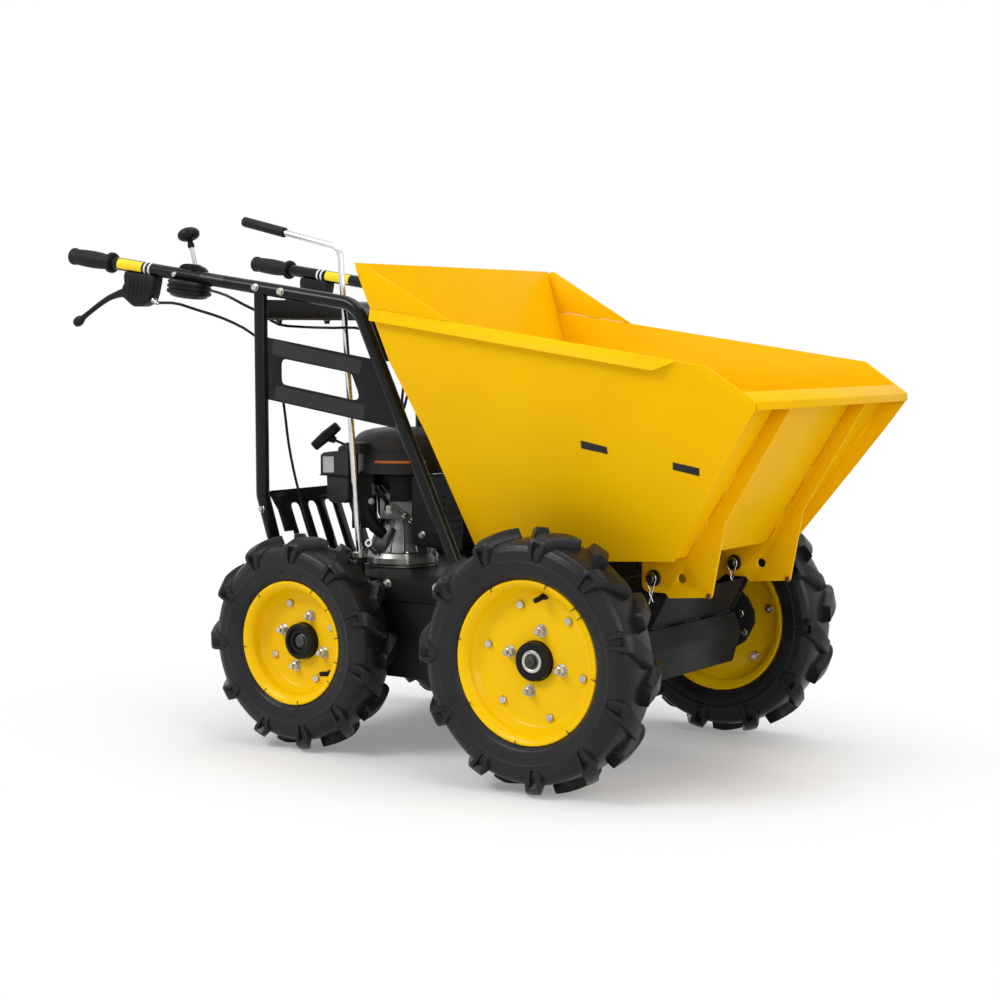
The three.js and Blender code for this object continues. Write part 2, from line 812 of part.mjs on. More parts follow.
// Top tube, front leg and rear post, welded; the handle slides into the top tube's rear end.
function frameTube(side) {
  const foot = CROSS_BAR.z + SEAT;
  const below = foot - TUBE_RADIUS;
  const long = bentRod(
    [
      [FRAME_TOP.rear, 0, topZ(FRAME_TOP.rear)],
      [FRAME_TOP.corner, 0, topZ(FRAME_TOP.corner)],
      [frontLegX(below), 0, below],
    ],
    [FRAME_TOP.bend],
    TUBE_RADIUS,
  );
  const drop = POST.bendZ - POST.endZ;
  const post = bentRod(
    [
      [0, 0, topZ(0)],
      [0, 0, POST.bendZ],
      [0, -side * drop * POST.inward, POST.endZ],
    ],
    [30],
    TUBE_RADIUS,
    16,
    3,
  );
  const bore = bentRod(
    [
      [FRAME_TOP.rear - 1, 0, topZ(FRAME_TOP.rear - 1)],
      [FRAME_TOP.rear + 22, 0, topZ(FRAME_TOP.rear + 22)],
    ],
    [],
    HANDLE_SPIGOT + RUNNING / 2,
  );
  const underFoot = box(frontLegX(foot) - 60, frontLegX(foot) + 60, -30, 30, below - 30, foot);
  return cut(join(long, post), bore, underFoot);
}

// The side plate with its window, between the post and the leaning front leg.
function sidePlate() {
  const p = SIDE_PLATE;
  const rear = TUBE_RADIUS + SEAT;
  const top = (x) => p.topZ - p.slope * (x - rear);
  const bottom = (x) => p.bottomZ - p.slope * (x - rear);
  const legFace = (z) => frontLegX(z) - TUBE_RADIUS * Math.hypot(1, FRONT_LEG_LEAN) - SEAT;
  const meet = (edge) => {
    let x = 200;
    for (let i = 0; i < 20; i += 1) x = legFace(edge(x));
    return x;
  };
  const topFront = meet(top);
  const bottomFront = meet(bottom);
  const shape = outline([
    [rear, top(rear)],
    [rear, bottom(rear)],
    [bottomFront, bottom(bottomFront)],
    [topFront, top(topFront)],
  ]);
  const w = WINDOW;
  const windowTop = (x) => top(x) - w.topDrop;
  const windowBottom = (x) => windowTop(x) - w.height;
  const left = rear + w.rear;
  const rightTop = topFront - w.front;
  const rightBottom = rightTop + w.height * FRONT_LEG_LEAN;
  shape.holes.push(
    outline(
      [
        [left, windowTop(left), w.corner],
        [rightTop, windowTop(rightTop), w.corner],
        [rightBottom, windowBottom(rightBottom), w.corner],
        [left, windowBottom(left), w.corner],
      ],
      THREE.Path,
    ),
  );
  return alongY(shape, -p.sheet / 2, p.sheet / 2);
}

// Pieces on the handle, with x along it from the post and z square to it.
function handleTube() {
  return join(
    rodY(HANDLE_RADIUS, GRIP.rear + 6, FRAME_TOP.rear - SEAT, 0, 0, 16),
    rodY(HANDLE_SPIGOT, FRAME_TOP.rear - 10, FRAME_TOP.rear + 18, 0, 0, 16),
  ).rotateZ(-Math.PI / 2);
}

function grip() {
  const g = GRIP;
  const front = g.rear + g.length;
  const bore = HANDLE_RADIUS + SEAT;
  return turnedY(
    [
      [0, g.rear],
      [g.radius - 3, g.rear],
      [g.radius, g.rear + 4],
      [g.radius, front - g.flangeLength],
      [g.flange, front - g.flangeLength],
      [g.flange, front],
      [bore, front],
      [bore, g.rear + 5.5],
      [0, g.rear + 5.5],
    ],
    24,
  ).rotateZ(-Math.PI / 2);
}

function leverHousing() {
  const h = LEVER_HOUSING;
  const body = outline([
    [h.rear, h.top, 4],
    [h.rear, h.bottom + 18, 5],
    [h.rear + 30, h.bottom, 8],
    [h.front - 8, h.bottom + 8, 8],
    [h.front, h.top, 4],
  ]);
  const collar = rodY(HANDLE_RADIUS + 6, h.rear + 16, h.front - 16, 0, 0, 20).rotateZ(-Math.PI / 2);
  const bore = rodY(HANDLE_RADIUS + SEAT, h.rear - 1, h.front + 1, 0, 0, 16).rotateZ(-Math.PI / 2);
  return cut(join(alongY(body, -h.halfWidth, h.halfWidth, 3), collar), bore);
}

function handLever() {
  const start = LEVER_HOUSING.rear - 1.9;
  const bar = bentRod(
    [
      [start, 0, -50],
      [start - 44, 0, -68],
      [start - 82, 0, -97],
      [start - 117, 0, -126],
    ],
    [60, 60],
    LEVER_RADIUS,
    8,
    3,
  );
  const ball = new THREE.SphereGeometry(10, 12, 8).translate(start - 117, 0, -126);
  return join(bar, ball);
}

function controlBox() {
  const c = CONTROL;
  const body = turnedZ([
    [0, c.bodyBottom],
    [c.bodyRadius - 9, c.bodyBottom],
    [c.bodyRadius - 2, c.bodyBottom + 8],
    [c.bodyRadius, c.bodyTop - 8],
    [c.bodyRadius - 4, c.bodyTop],
    [0, c.bodyTop],
  ]);
  const round = turnedZ([
    [0, c.bodyTop - 1],
    [c.capRadius, c.bodyTop - 1],
    [c.capRadius, c.capTop - 8],
    [c.capRadius - 10, c.capTop],
    [0, c.capTop],
  ]);
  const reach = c.capRadius + 1;
  const behindTube = box(-reach, reach, c.capSide, reach, c.bodyTop - 2, c.capTop + 1);
  const bore = rodY(HANDLE_RADIUS + SEAT, -60, 60, 0, 0, 16).rotateZ(-Math.PI / 2);
  return cut(join(body, common(round, behindTube)), bore).translate(c.along, 0, 0);
}

function controlKnob() {
  const k = KNOB;
  const upright = turnedZ(
    [
      [0, -3],
      [k.stemRadius, -3],
      [k.stemRadius, k.neck - k.bottom],
      [k.radius - 8, k.neck - k.bottom],
      [k.radius, k.neck - k.bottom + 8],
      [k.radius, k.top - k.bottom - 12],
      [k.radius - 7, k.top - k.bottom - 3],
      [0, k.top - k.bottom],
    ],
    24,
  );
  const foot = box(-12, 12, -12, 12, -12, 0);
  return cut(upright.rotateY(k.lean), foot).translate(CONTROL.along + 1, k.y, k.bottom);
}

function handleFrame(root, side) {
  const name = sideName(side);
  const frame = new THREE.Group();
  frame.position.set(POST.x, side * POST.y, 0);
  frame.rotation.z = -side * SPLAY;
  add(frame, `frame_${name}`, frameTube(side), BLACK);
  add(frame, `side_plate_${name}`, sidePlate(), BLACK);
  const handle = new THREE.Group();
  handle.position.z = POST.top;
  handle.rotation.y = HANDLE_SLOPE;
  add(handle, `handle_${name}`, handleTube(), BLACK);
  add(handle, `grip_${name}`, grip(), RUBBER);
  add(handle, `lever_housing_${name}`, leverHousing(), PLASTIC);
  add(handle, `hand_lever_${name}`, handLever(), PLASTIC);
  if (side === RIGHT) {
    add(handle, "control_box", controlBox(), PLASTIC);
    add(handle, "control_knob", controlKnob(), PLASTIC);
  }
  frame.add(handle);
  root.add(frame);
}

// ---------------------------------------------------------------------------------------------
// Pieces that cross between the frames
// ---------------------------------------------------------------------------------------------

// Half the clear width between the two frames' tubes at x.
function insideFrames(x) {
  return POST.y - (x - POST.x) * Math.tan(SPLAY) - TUBE_RADIUS / Math.cos(SPLAY) - SEAT;
}

function crossBar() {
  const c = CROSS_BAR;
  const middle = POST.x + frontLegX(c.z) * Math.cos(SPLAY);
  return box(middle - c.width / 2, middle + c.width / 2, -c.halfLength, c.halfLength, DECK.top + SEAT, c.z);
}

function consolePanel() {
  const c = CONSOLE;
  const x = POST.x + TUBE_RADIUS + SEAT;
  const profile = outline([
    [x, c.bottom],
    [x + c.shelf, c.bottom],
    [x + c.shelf, c.bottom + c.sheet],
    [x + c.sheet, c.bottom + c.sheet],
    [x + c.sheet, c.top],
    [x, c.top],
  ]);
  return alongY(profile, -POST.y, POST.y);
}

// The plate behind the hopper follows the front legs and curves over their top bend.
function backPlate() {
  const b = BACK_PLATE;
  const worldX = (x) => POST.x + x * Math.cos(SPLAY);
  const corner = FRAME_TOP.corner;
  const face = (dx, dz) => [worldX(corner + dx), topZ(corner) + dz];
  const legWay = Math.hypot(1, FRONT_LEG_LEAN);
  const legLow = [worldX(frontLegX(b.bottom)), b.bottom];
  const setback = 32;
  const shape = new THREE.Shape();
  shape.moveTo(...legLow);
  const bendLow = face((setback * FRONT_LEG_LEAN) / legWay, -setback / legWay);
  const bendHigh = face(-setback, setback * Math.tan(HANDLE_SLOPE));
  const tail = face(-b.tail, b.tail * Math.tan(HANDLE_SLOPE));
  shape.lineTo(...bendLow);
  shape.quadraticCurveTo(...face(0, 0), ...bendHigh);
  shape.lineTo(...tail);
  shape.lineTo(tail[0], tail[1] - b.sheet);
  shape.lineTo(bendHigh[0], bendHigh[1] - b.sheet);
  shape.quadraticCurveTo(...face(-b.sheet, -b.sheet), bendLow[0] - b.sheet, bendLow[1]);
  shape.lineTo(legLow[0] - b.sheet, legLow[1]);
  shape.closePath();
  const half = insideFrames(legLow[0]) - 0.2;
  return alongY(shape, -half, half, 8);
}

// The slotted guard behind the engine leans forward from between the posts down to the deck.
function rearGuard() {
  const g = GUARD;
  const up = new THREE.Vector3(-g.lean, 0, 1).normalize();
  const stretch = Math.hypot(1, g.lean); // length along the plate for each mm of height
  // Below this height the plate is ahead of the posts.
  const free = POST.bendZ - (TUBE_RADIUS + g.sheet - g.ahead) / g.lean;
  const base = DECK.top + SEAT;
  const along = (z) => (z - base) * stretch;
  const edge = (z) => insideFrames(POST.x) - Math.max(0, POST.bendZ - Math.max(z, free)) * POST.inward - 0.7;
  const foot = CHASSIS.halfWidth + 13;
  const shape = outline([
    [-foot, 0],
    [foot, 0],
    [foot, along(GUARD_NOTCH_Z)],
    [edge(GUARD_NOTCH_Z), along(GUARD_NOTCH_Z)],
    [edge(free), along(free)],
    [edge(POST.bendZ), along(POST.bendZ)],
    [edge(POST.bendZ), along(g.top), 4],
    [-edge(POST.bendZ), along(g.top), 4],
    [-edge(POST.bendZ), along(POST.bendZ)],
    [-edge(free), along(free)],
    [-edge(GUARD_NOTCH_Z), along(GUARD_NOTCH_Z)],
    [-foot, along(GUARD_NOTCH_Z)],
  ]);
  const pitch = (2 * foot) / g.slots;
  const half = (pitch - g.bar) / 2;
  for (let i = 0; i < g.slots; i += 1) {
    const y = (i - (g.slots - 1) / 2) * pitch;
    shape.holes.push(
      outline(
        [
          [y - half, along(g.slotBottom), half * 0.9],
          [y - half, along(g.slotTop), half * 0.9],
          [y + half, along(g.slotTop), half * 0.9],
          [y + half, along(g.slotBottom), half * 0.9],
        ],
        THREE.Path,
      ),
    );
  }
  const across = new THREE.Vector3(0, 1, 0);
  const normal = new THREE.Vector3().crossVectors(across, up);
  const place = new THREE.Matrix4().makeBasis(across, up, normal);
  const x = POST.x + g.ahead + (POST.bendZ - base) * g.lean;
  place.setPosition(x, 0, base + 1);
  return extrude(shape, g.sheet, 3).translate(0, 0, -g.sheet / 2).applyMatrix4(place);
}

// ---------------------------------------------------------------------------------------------
// Engine, gear lever and cables
// ---------------------------------------------------------------------------------------------

function engineBlock() {
  const e = ENGINE;
  const bell = turnedZ([
    [0, DECK.top + SEAT],
    [e.flangeRadius, DECK.top + SEAT],
    [e.flangeRadius, DECK.top + 10],
    [e.flangeRadius - 4, DECK.top + 12],
    [e.flangeRadius, DECK.top + 15],
    [e.flangeRadius, e.flangeTop],
    [58, e.flangeTop + 6],
    [42, 430],
    [42, e.coverBottom - SEAT],
    [0, e.coverBottom - SEAT],
  ]).translate(e.x, 0, 0);
  const cylinder = box(e.x - 30, e.x + 84, -50, 60, 400, e.coverBottom - SEAT);
  return join(bell, cylinder);
}

function engineCover() {
  const e = ENGINE;
  return turnedZ([
    [0, e.coverBottom],
    [e.coverRadius, e.coverBottom],
    [e.coverRadius, e.coverBottom + 50],
    [e.coverRadius - 8, e.coverTop - 22],
    [e.coverRadius - 30, e.coverTop - 6],
    [40, e.coverTop],
    [0, e.coverTop],
  ]).translate(e.x, 0, 0);
}

function airFilter() {
  const top = box(-56, 14, -134, -101, 503, 551);
  const bowl = box(-45, 10, -130, -44, 450, 504.5);
  return join(top, bowl);
}

function mufflerGuard() {
  const profile = outline([
    [124.5, 504],
    [124.5, 372, 14],
    [244, 366, 10],
    [254, 504],
  ]);
  return alongY(profile, -84, 70);
}

function recoilHandle() {
  const e = ENGINE;
  const centre = new THREE.Vector3(-96.5, -66, 573);
  const barWay = new THREE.Vector3(41, 24, 41).setLength(31);
  const ropeWay = new THREE.Vector3(23, 14, -12).setLength(95);
  const barEnds = [centre.clone().sub(barWay), centre.clone().add(barWay)];
  const bar = bentRod(
    barEnds.map((end) => end.toArray()),
    [],
    9,
    14,
  );
  const stem = bentRod([centre.toArray(), centre.clone().add(ropeWay).toArray()], [], 5, 12);
  const clear = rodZ(e.coverRadius + 0.8, e.coverBottom - 1, e.coverTop, 32).translate(e.x, 0, 0);
  return cut(join(bar, stem), clear);
}

function gearLever() {
  const l = LEVER;
  const way = new THREE.Vector2(l.endX - l.cornerX, l.endZ - l.cornerZ).normalize();
  const end = [l.endX - way.x * LEVER_SLEEVE.length, l.y, l.endZ - way.y * LEVER_SLEEVE.length];
  return bentRod(
    [
      [l.baseX, l.y, l.baseZ + 0.4],
      [l.cornerX, l.y, l.cornerZ],
      end,
    ],
    [26],
    LEVER_ROD_RADIUS,
    12,
  );
}

function gearLeverSleeve() {
  const l = LEVER;
  const way = new THREE.Vector2(l.endX - l.cornerX, l.endZ - l.cornerZ).normalize();
  const reach = LEVER_SLEEVE.length - SEAT;
  return bentRod(
    [
      [l.endX - way.x * reach, l.y, l.endZ - way.y * reach],
      [l.endX, l.y, l.endZ],
    ],
    [],
    LEVER_SLEEVE.radius,
    14,
  );
}

function gearLeverSocket() {
  const l = LEVER;
  return rodZ(11, DECK.top + SEAT, l.baseZ - SEAT, 18).translate(l.baseX, l.y, 0);
}

const CABLE_ROUTES = {
  throttle: [
    [-218, -256, 854.5],
    [-181, -256, 845.5],
    [-146, -250, 829],
    [-116, -228, 810],
    [-84, -222, 791],
    [-24, -218, 785],
    [36, -208, 783],
    [86, -180, 781],
    [114, -130, 752],
    [106, -80, 700],
    [71, -40, 640],
    [64, -24, 610],
    [64, -20, 592.8],
  ],
  clutch: [
    [-363, -260, 832.5],
    [-311, -258, 831.5],
    [-261, -258, 820],
    [-174, -256, 797],
    [-129, -240, 772],
    [-92, -222, 730],
    [-76, -215, 641],
    [-72, -205, 560],
    [-65, -190, 483],
    [-49, -172, 400],
    [-36, -160, 350],
    [-30, -156, 323],
  ],
  drive: [
    [-363, 260, 832.5],
    [-311, 258, 831.5],
    [-261, 258, 820],
    [-174, 256, 797],
    [-129, 236, 762],
    [-100, 214, 700],
    [-104, 202, 636],
    [-118, 198, 593],
    [-126, 192, 550],
    [-128, 184, 480],
    [-114, 172, 420],
    [-96, 160, 360],
    [-92, 156, 323],
  ],
};

// ---------------------------------------------------------------------------------------------
// The machine
// ---------------------------------------------------------------------------------------------

const machine = new THREE.Group();
const rear = new THREE.Group();
rear.position.x = -WHEELBASE;
machine.add(rear);

add(machine, "chassis_case", chassisCase(), BLACK);
add(machine, "engine_deck", engineDeck(), BLACK);
add(machine, "front_axle", frontAxle(), BLACK);
add(machine, "pivot_bracket", pivotBracket(), BLACK);
add(rear, "frame_cross_bar", crossBar(), BLACK);
add(rear, "console_panel", consolePanel(), BLACK);
add(rear, "back_plate", backPlate(), BLACK);
add(rear, "rear_guard", rearGuard(), BLACK);
add(rear, "engine_block", engineBlock(), CAST);
add(rear, "engine_cover", engineCover(), PLASTIC);
add(rear, "air_filter", airFilter(), PLASTIC);
add(rear, "muffler_guard", mufflerGuard(), BLACK);
add(rear, "recoil_handle", recoilHandle(), PLASTIC);
add(rear, "gear_lever", gearLever(), CHROME);
add(rear, "gear_lever_sleeve", gearLeverSleeve(), RUBBER);
add(rear, "gear_lever_socket", gearLeverSocket(), BLACK);
add(rear, "throttle_cable", cable(CABLE_ROUTES.throttle, 30), RUBBER);
add(rear, "clutch_cable", cable(CABLE_ROUTES.clutch, 32), RUBBER);
add(rear, "drive_cable", cable(CABLE_ROUTES.drive, 32), RUBBER);

add(machine, "hopper_back", hopperBack(), YELLOW);
add(machine, "hopper_floor", hopperFloor(), YELLOW);
add(machine, "hopper_front", hopperFront(), YELLOW);

for (const side of [LEFT, RIGHT]) {
  const name = sideName(side);
  add(machine, `hopper_side_${name}`, hopperSide(side), YELLOW);
  add(machine, `hopper_gusset_${name}`, hopperGusset(side), YELLOW);
  add(machine, `hopper_bracket_${name}`, hopperBracket(side), YELLOW);
  add(machine, `pivot_pin_${name}`, pivotPin(side), ZINC);
  handleFrame(rear, side);
  wheel(machine, "front", FRONT_WHEEL, 0, side);
  wheel(machine, "rear", REAR_WHEEL, -WHEELBASE, side);
}

// The origin is the middle of the machine's footprint, on the ground.
const extent = new THREE.Box3().setFromObject(machine, true);
machine.position.x = -(extent.min.x + extent.max.x) / 2;

const dumper = new THREE.Group();
dumper.add(machine);

export default dumper;
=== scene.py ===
"""The look of the site dumper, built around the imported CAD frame. Metres, +X forward, +Z up."""
import json
import math
import random

import bmesh
import bpy
from mathutils import Matrix, Vector
from mathutils.bvhtree import BVHTree

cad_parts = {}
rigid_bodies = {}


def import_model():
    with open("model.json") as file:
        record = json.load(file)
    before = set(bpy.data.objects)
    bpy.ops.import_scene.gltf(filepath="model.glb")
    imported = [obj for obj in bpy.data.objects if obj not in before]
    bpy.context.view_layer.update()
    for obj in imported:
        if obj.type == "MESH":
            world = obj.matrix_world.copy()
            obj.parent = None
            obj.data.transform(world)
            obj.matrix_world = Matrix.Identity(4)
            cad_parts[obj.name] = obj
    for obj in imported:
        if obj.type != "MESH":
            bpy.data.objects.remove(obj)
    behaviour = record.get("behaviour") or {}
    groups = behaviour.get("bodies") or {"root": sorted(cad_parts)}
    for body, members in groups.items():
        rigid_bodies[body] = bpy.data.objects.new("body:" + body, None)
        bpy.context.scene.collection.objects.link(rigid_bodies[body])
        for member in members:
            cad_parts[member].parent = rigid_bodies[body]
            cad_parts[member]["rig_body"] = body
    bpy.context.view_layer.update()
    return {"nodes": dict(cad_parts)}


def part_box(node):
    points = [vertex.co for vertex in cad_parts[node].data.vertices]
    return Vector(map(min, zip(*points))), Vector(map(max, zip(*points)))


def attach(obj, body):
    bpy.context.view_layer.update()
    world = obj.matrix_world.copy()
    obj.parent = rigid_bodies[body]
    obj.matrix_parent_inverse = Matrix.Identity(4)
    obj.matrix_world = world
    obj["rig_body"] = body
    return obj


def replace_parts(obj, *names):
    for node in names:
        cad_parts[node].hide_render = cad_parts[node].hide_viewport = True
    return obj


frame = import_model()

MM = 0.001
LEFT, RIGHT = 1, -1
SIDE_NAME = {LEFT: "left", RIGHT: "right"}


def middle(node):
    low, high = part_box(node)
    return (low + high) / 2


AXLE_F = middle("tyre_front_left")
AXLE_R = middle("tyre_rear_left")


def at(x, y, z):
    """A point given in millimetres from the front axle, the middle and the ground."""
    return Vector((AXLE_F.x + x * MM, y * MM, z * MM))


def mm(*values):
    return Vector([v * MM for v in values])


# ---- camera
CAM_AZ, CAM_EL, CAM_ROLL = math.radians(34.37), math.radians(4.6), math.radians(-0.08)
CAM_AT = at(1874.45, -3138.1, 765.32)

camera_data = bpy.data.cameras.new("camera")
camera_data.lens = 73.2
camera_data.sensor_width = 36
camera_data.shift_x = -0.0143
camera_data.shift_y = 0.0008
camera_data.clip_end = 60
camera = bpy.data.objects.new("camera", camera_data)
bpy.context.scene.collection.objects.link(camera)
look = Vector((-math.sin(CAM_AZ) * math.cos(CAM_EL), math.cos(CAM_AZ) * math.cos(CAM_EL), -math.sin(CAM_EL)))
right = Vector((math.cos(CAM_AZ), math.sin(CAM_AZ), 0))
up = right.cross(look)
basis = Matrix((right, up, -look)).transposed()
camera.matrix_world = Matrix.Translation(CAM_AT) @ (basis @ Matrix.Rotation(CAM_ROLL, 3, "Z")).to_4x4()
bpy.context.scene.camera = camera


# ---- materials
def new_material(name):
    material = bpy.data.materials.new(name)
    material.use_nodes = True
    tree = material.node_tree
    return material, tree, tree.nodes["Principled BSDF"]


def coords(tree, scale):
    """Object coordinates in metres, times a scale: pieces lie in the row frame, so no seam shows."""
    coordinate = tree.nodes.new("ShaderNodeTexCoord")
    mapping = tree.nodes.new("ShaderNodeMapping")
    mapping.inputs["Scale"].default_value = scale if isinstance(scale, tuple) else (scale,) * 3
    tree.links.new(coordinate.outputs["Object"], mapping.inputs["Vector"])
    return mapping.outputs["Vector"]


def noise(tree, vector, scale, detail=4.0, rough=0.55):
    node = tree.nodes.new("ShaderNodeTexNoise")
    node.inputs["Scale"].default_value = scale
    node.inputs["Detail"].default_value = detail
    node.inputs["Roughness"].default_value = rough
    tree.links.new(vector, node.inputs["Vector"])
    return node.outputs["Fac"]


def ramp(tree, value, stops):
    """A colour ramp: stops are (place, colour or grey)."""
    node = tree.nodes.new("ShaderNodeValToRGB")
    colours = node.color_ramp
    while len(colours.elements) < len(stops):
        colours.elements.new(0.5)
    for element, (place, colour) in zip(colours.elements, stops):
        element.position = place
        element.color = (*colour, 1) if isinstance(colour, tuple) else (colour, colour, colour, 1)
    tree.links.new(value, node.inputs["Fac"])
    return node.outputs["Color"]


def mixed(tree, factor, a, b):
    node = tree.nodes.new("ShaderNodeMix")
    node.data_type = "RGBA"
    for socket, value in ((node.inputs[0], factor), (node.inputs[6], a), (node.inputs[7], b)):
        if isinstance(value, bpy.types.NodeSocket):
            tree.links.new(value, socket)
        elif isinstance(value, tuple):
            socket.default_value = (*value, 1)
        else:
            socket.default_value = value
    return node.outputs[2]


def bump(tree, shader, height, strength, distance):
    node = tree.nodes.new("ShaderNodeBump")
    node.inputs["Strength"].default_value = strength
    node.inputs["Distance"].default_value = distance
    tree.links.new(height, node.inputs["Height"])
    tree.links.new(node.outputs["Normal"], shader.inputs["Normal"])


def paint(name, colour, dull, rough=(0.3, 0.42), wear=0.0, peel=0.12, dust=None, shine=0.3):
    """Powder coat or paint: slow colour drift, orange peel, scuffs, and dust where it gathers."""
    material, tree, shader = new_material(name)
    vector = coords(tree, 1.0)
    drift = noise(tree, vector, 5.0, 3.0)
    base = mixed(tree, ramp(tree, drift, [(0.35, 0.0), (0.7, 1.0)]), colour, dull)
    if wear:
        scratches = noise(tree, coords(tree, (9.0, 60.0, 30.0)), 6.0, 6.0, 0.7)
        base = mixed(tree, ramp(tree, scratches, [(0.68, 0.0), (0.74, wear)]), base,
                     tuple(c * 0.6 for c in dull))
    if dust:
        specks = noise(tree, vector, 240.0, 2.0)
        base = mixed(tree, ramp(tree, specks, [(0.62, 0.0), (0.75, 0.35)]), base, dust)
    tree.links.new(base, shader.inputs["Base Color"])
    rough_map = noise(tree, vector, 22.0, 5.0)
    low, high = rough
    tree.links.new(ramp(tree, rough_map, [(0.3, low), (0.7, high)]), shader.inputs["Roughness"])
    shader.inputs["Specular IOR Level"].default_value = shine
    bump(tree, shader, noise(tree, vector, 420.0, 2.0), peel, 0.0006)
    return material


YELLOW = (0.86, 0.485, 0.001)
YELLOW_DEEP = (0.82, 0.445, 0.001)
mat_hopper = paint("hopper_yellow", YELLOW, YELLOW_DEEP, (0.30, 0.42), wear=0.25, peel=0.10, shine=0.03)
mat_rim = paint("rim_yellow", (0.87, 0.54, 0.001), (0.83, 0.49, 0.001), (0.16, 0.26), peel=0.05, shine=0.10)
mat_weld = paint("weld_yellow", (0.84, 0.50, 0.002), (0.60, 0.33, 0.001), (0.35, 0.5), wear=0.5, peel=0.6,
                 shine=0.2)
mat_frame = paint("frame_black", (0.0055, 0.0058, 0.0066), (0.0090, 0.0095, 0.0105), (0.13, 0.22), peel=0.08,
                  dust=(0.02, 0.02, 0.02), shine=0.17)
mat_chassis = paint("chassis_black", (0.010, 0.0112, 0.0110), (0.017, 0.0185, 0.0180), (0.30, 0.44), peel=0.2,
                    wear=0.3, dust=(0.02, 0.02, 0.018), shine=0.08)
mat_hub = paint("hub_black", (0.004, 0.004, 0.0045), (0.007, 0.007, 0.008), (0.22, 0.34), peel=0.08,
                shine=0.16)
mat_decal = paint("decal_grey", (0.016, 0.015, 0.015), (0.020, 0.019, 0.018), (0.18, 0.24), peel=0.02)
mat_stripe = paint("stripe_black", (0.006, 0.006, 0.006), (0.010, 0.010, 0.010), (0.25, 0.35), peel=0.02)
mat_band = paint("band_white", (0.72, 0.72, 0.72), (0.60, 0.60, 0.60), (0.3, 0.4), peel=0.02)
mat_label = paint("label_yellow", (0.88, 0.66, 0.005), (0.80, 0.56, 0.004), (0.25, 0.32), peel=0.02)
mat_plate = paint("plate_white", (0.62, 0.62, 0.60), (0.42, 0.42, 0.41), (0.25, 0.4), peel=0.05)


def moulded(name, colour, lighter, rough=(0.45, 0.6), grain=900.0, depth=0.25):
    """Moulded plastic or rubber: a fine grain, a slow change of tone and rubbed places."""
    material, tree, shader = new_material(name)
    vector = coords(tree, 1.0)
    tone = noise(tree, vector, 14.0, 5.0)
    base = mixed(tree, ramp(tree, tone, [(0.35, 0.0), (0.75, 1.0)]), colour, lighter)
    tree.links.new(base, shader.inputs["Base Color"])
    low, high = rough
    tree.links.new(ramp(tree, noise(tree, vector, 30.0, 4.0), [(0.3, low), (0.7, high)]),
                   shader.inputs["Roughness"])
    shader.inputs["Specular IOR Level"].default_value = 0.12
    bump(tree, shader, noise(tree, vector, grain, 2.0), depth, 0.0004)
    return material


mat_plastic = moulded("plastic_dark", (0.032, 0.031, 0.031), (0.050, 0.049, 0.049), (0.38, 0.5))
mat_plastic_black = moulded("plastic_black", (0.008, 0.008, 0.009), (0.014, 0.014, 0.015), (0.34, 0.46))
mat_grip = moulded("rubber_grip", (0.010, 0.010, 0.011), (0.018, 0.018, 0.019), (0.42, 0.56), grain=600.0)
mat_sheath = moulded("cable_sheath", (0.007, 0.007, 0.007), (0.012, 0.012, 0.013), (0.25, 0.36), depth=0.08)
mat_cord = moulded("starter_cord", (0.02, 0.02, 0.02), (0.05, 0.05, 0.05), (0.7, 0.85), grain=1500.0,
                   depth=0.9)


def tyre_material():
    material, tree, shader = new_material("tyre_rubber")
    vector = coords(tree, 1.0)
    tone = noise(tree, vector, 9.0, 6.0)
    base = mixed(tree, ramp(tree, tone, [(0.3, 0.0), (0.72, 1.0)]), (0.0085, 0.0088, 0.0096),
                 (0.0180, 0.0185, 0.0205))
    dust = noise(tree, vector, 150.0, 6.0, 0.7)
    base = mixed(tree, ramp(tree, dust, [(0.62, 0.0), (0.80, 0.35)]), base, (0.026, 0.025, 0.022))
    tree.links.new(base, shader.inputs["Base Color"])
    shader.inputs["Specular IOR Level"].default_value = 0.20
    tree.links.new(ramp(tree, noise(tree, vector, 18.0, 5.0), [(0.3, 0.22), (0.7, 0.38)]),
                   shader.inputs["Roughness"])
    bump(tree, shader, noise(tree, vector, 320.0, 5.0), 0.30, 0.0008)
    return material


mat_tyre = tyre_material()


def metal(name, colour, dark, rough=(0.22, 0.4), grain=260.0, depth=0.2, patches=30.0, metallic=1.0):
    """Bare or plated metal: tarnish in patches and a fine uneven surface."""
    material, tree, shader = new_material(name)
    vector = coords(tree, 1.0)
    tarnish = noise(tree, vector, patches, 6.0, 0.65)
    base = mixed(tree, ramp(tree, tarnish, [(0.35, 0.0), (0.68, 1.0)]), colour, dark)
    tree.links.new(base, shader.inputs["Base Color"])
    low, high = rough
    tree.links.new(ramp(tree, noise(tree, vector, 60.0, 4.0), [(0.3, low), (0.7, high)]),
                   shader.inputs["Roughness"])
    shader.inputs["Metallic"].default_value = metallic
    bump(tree, shader, noise(tree, vector, grain, 3.0), depth, 0.0004)
    return material


mat_zinc = metal("zinc", (0.62, 0.60, 0.56), (0.38, 0.36, 0.33), (0.25, 0.42))
mat_chrome = metal("chrome", (0.78, 0.78, 0.79), (0.60, 0.60, 0.61), (0.08, 0.16), depth=0.05, patches=12.0)
mat_cast = metal("cast_alloy", (0.30, 0.30, 0.30), (0.13, 0.13, 0.13), (0.38, 0.6), grain=700.0, depth=0.7,
                 patches=18.0, metallic=0.85)
mat_steel = metal("dark_steel", (0.10, 0.095, 0.09), (0.04, 0.037, 0.035), (0.3, 0.5), patches=40.0)
mat_copper = metal("copper", (0.55, 0.26, 0.12), (0.35, 0.15, 0.07), (0.3, 0.45))


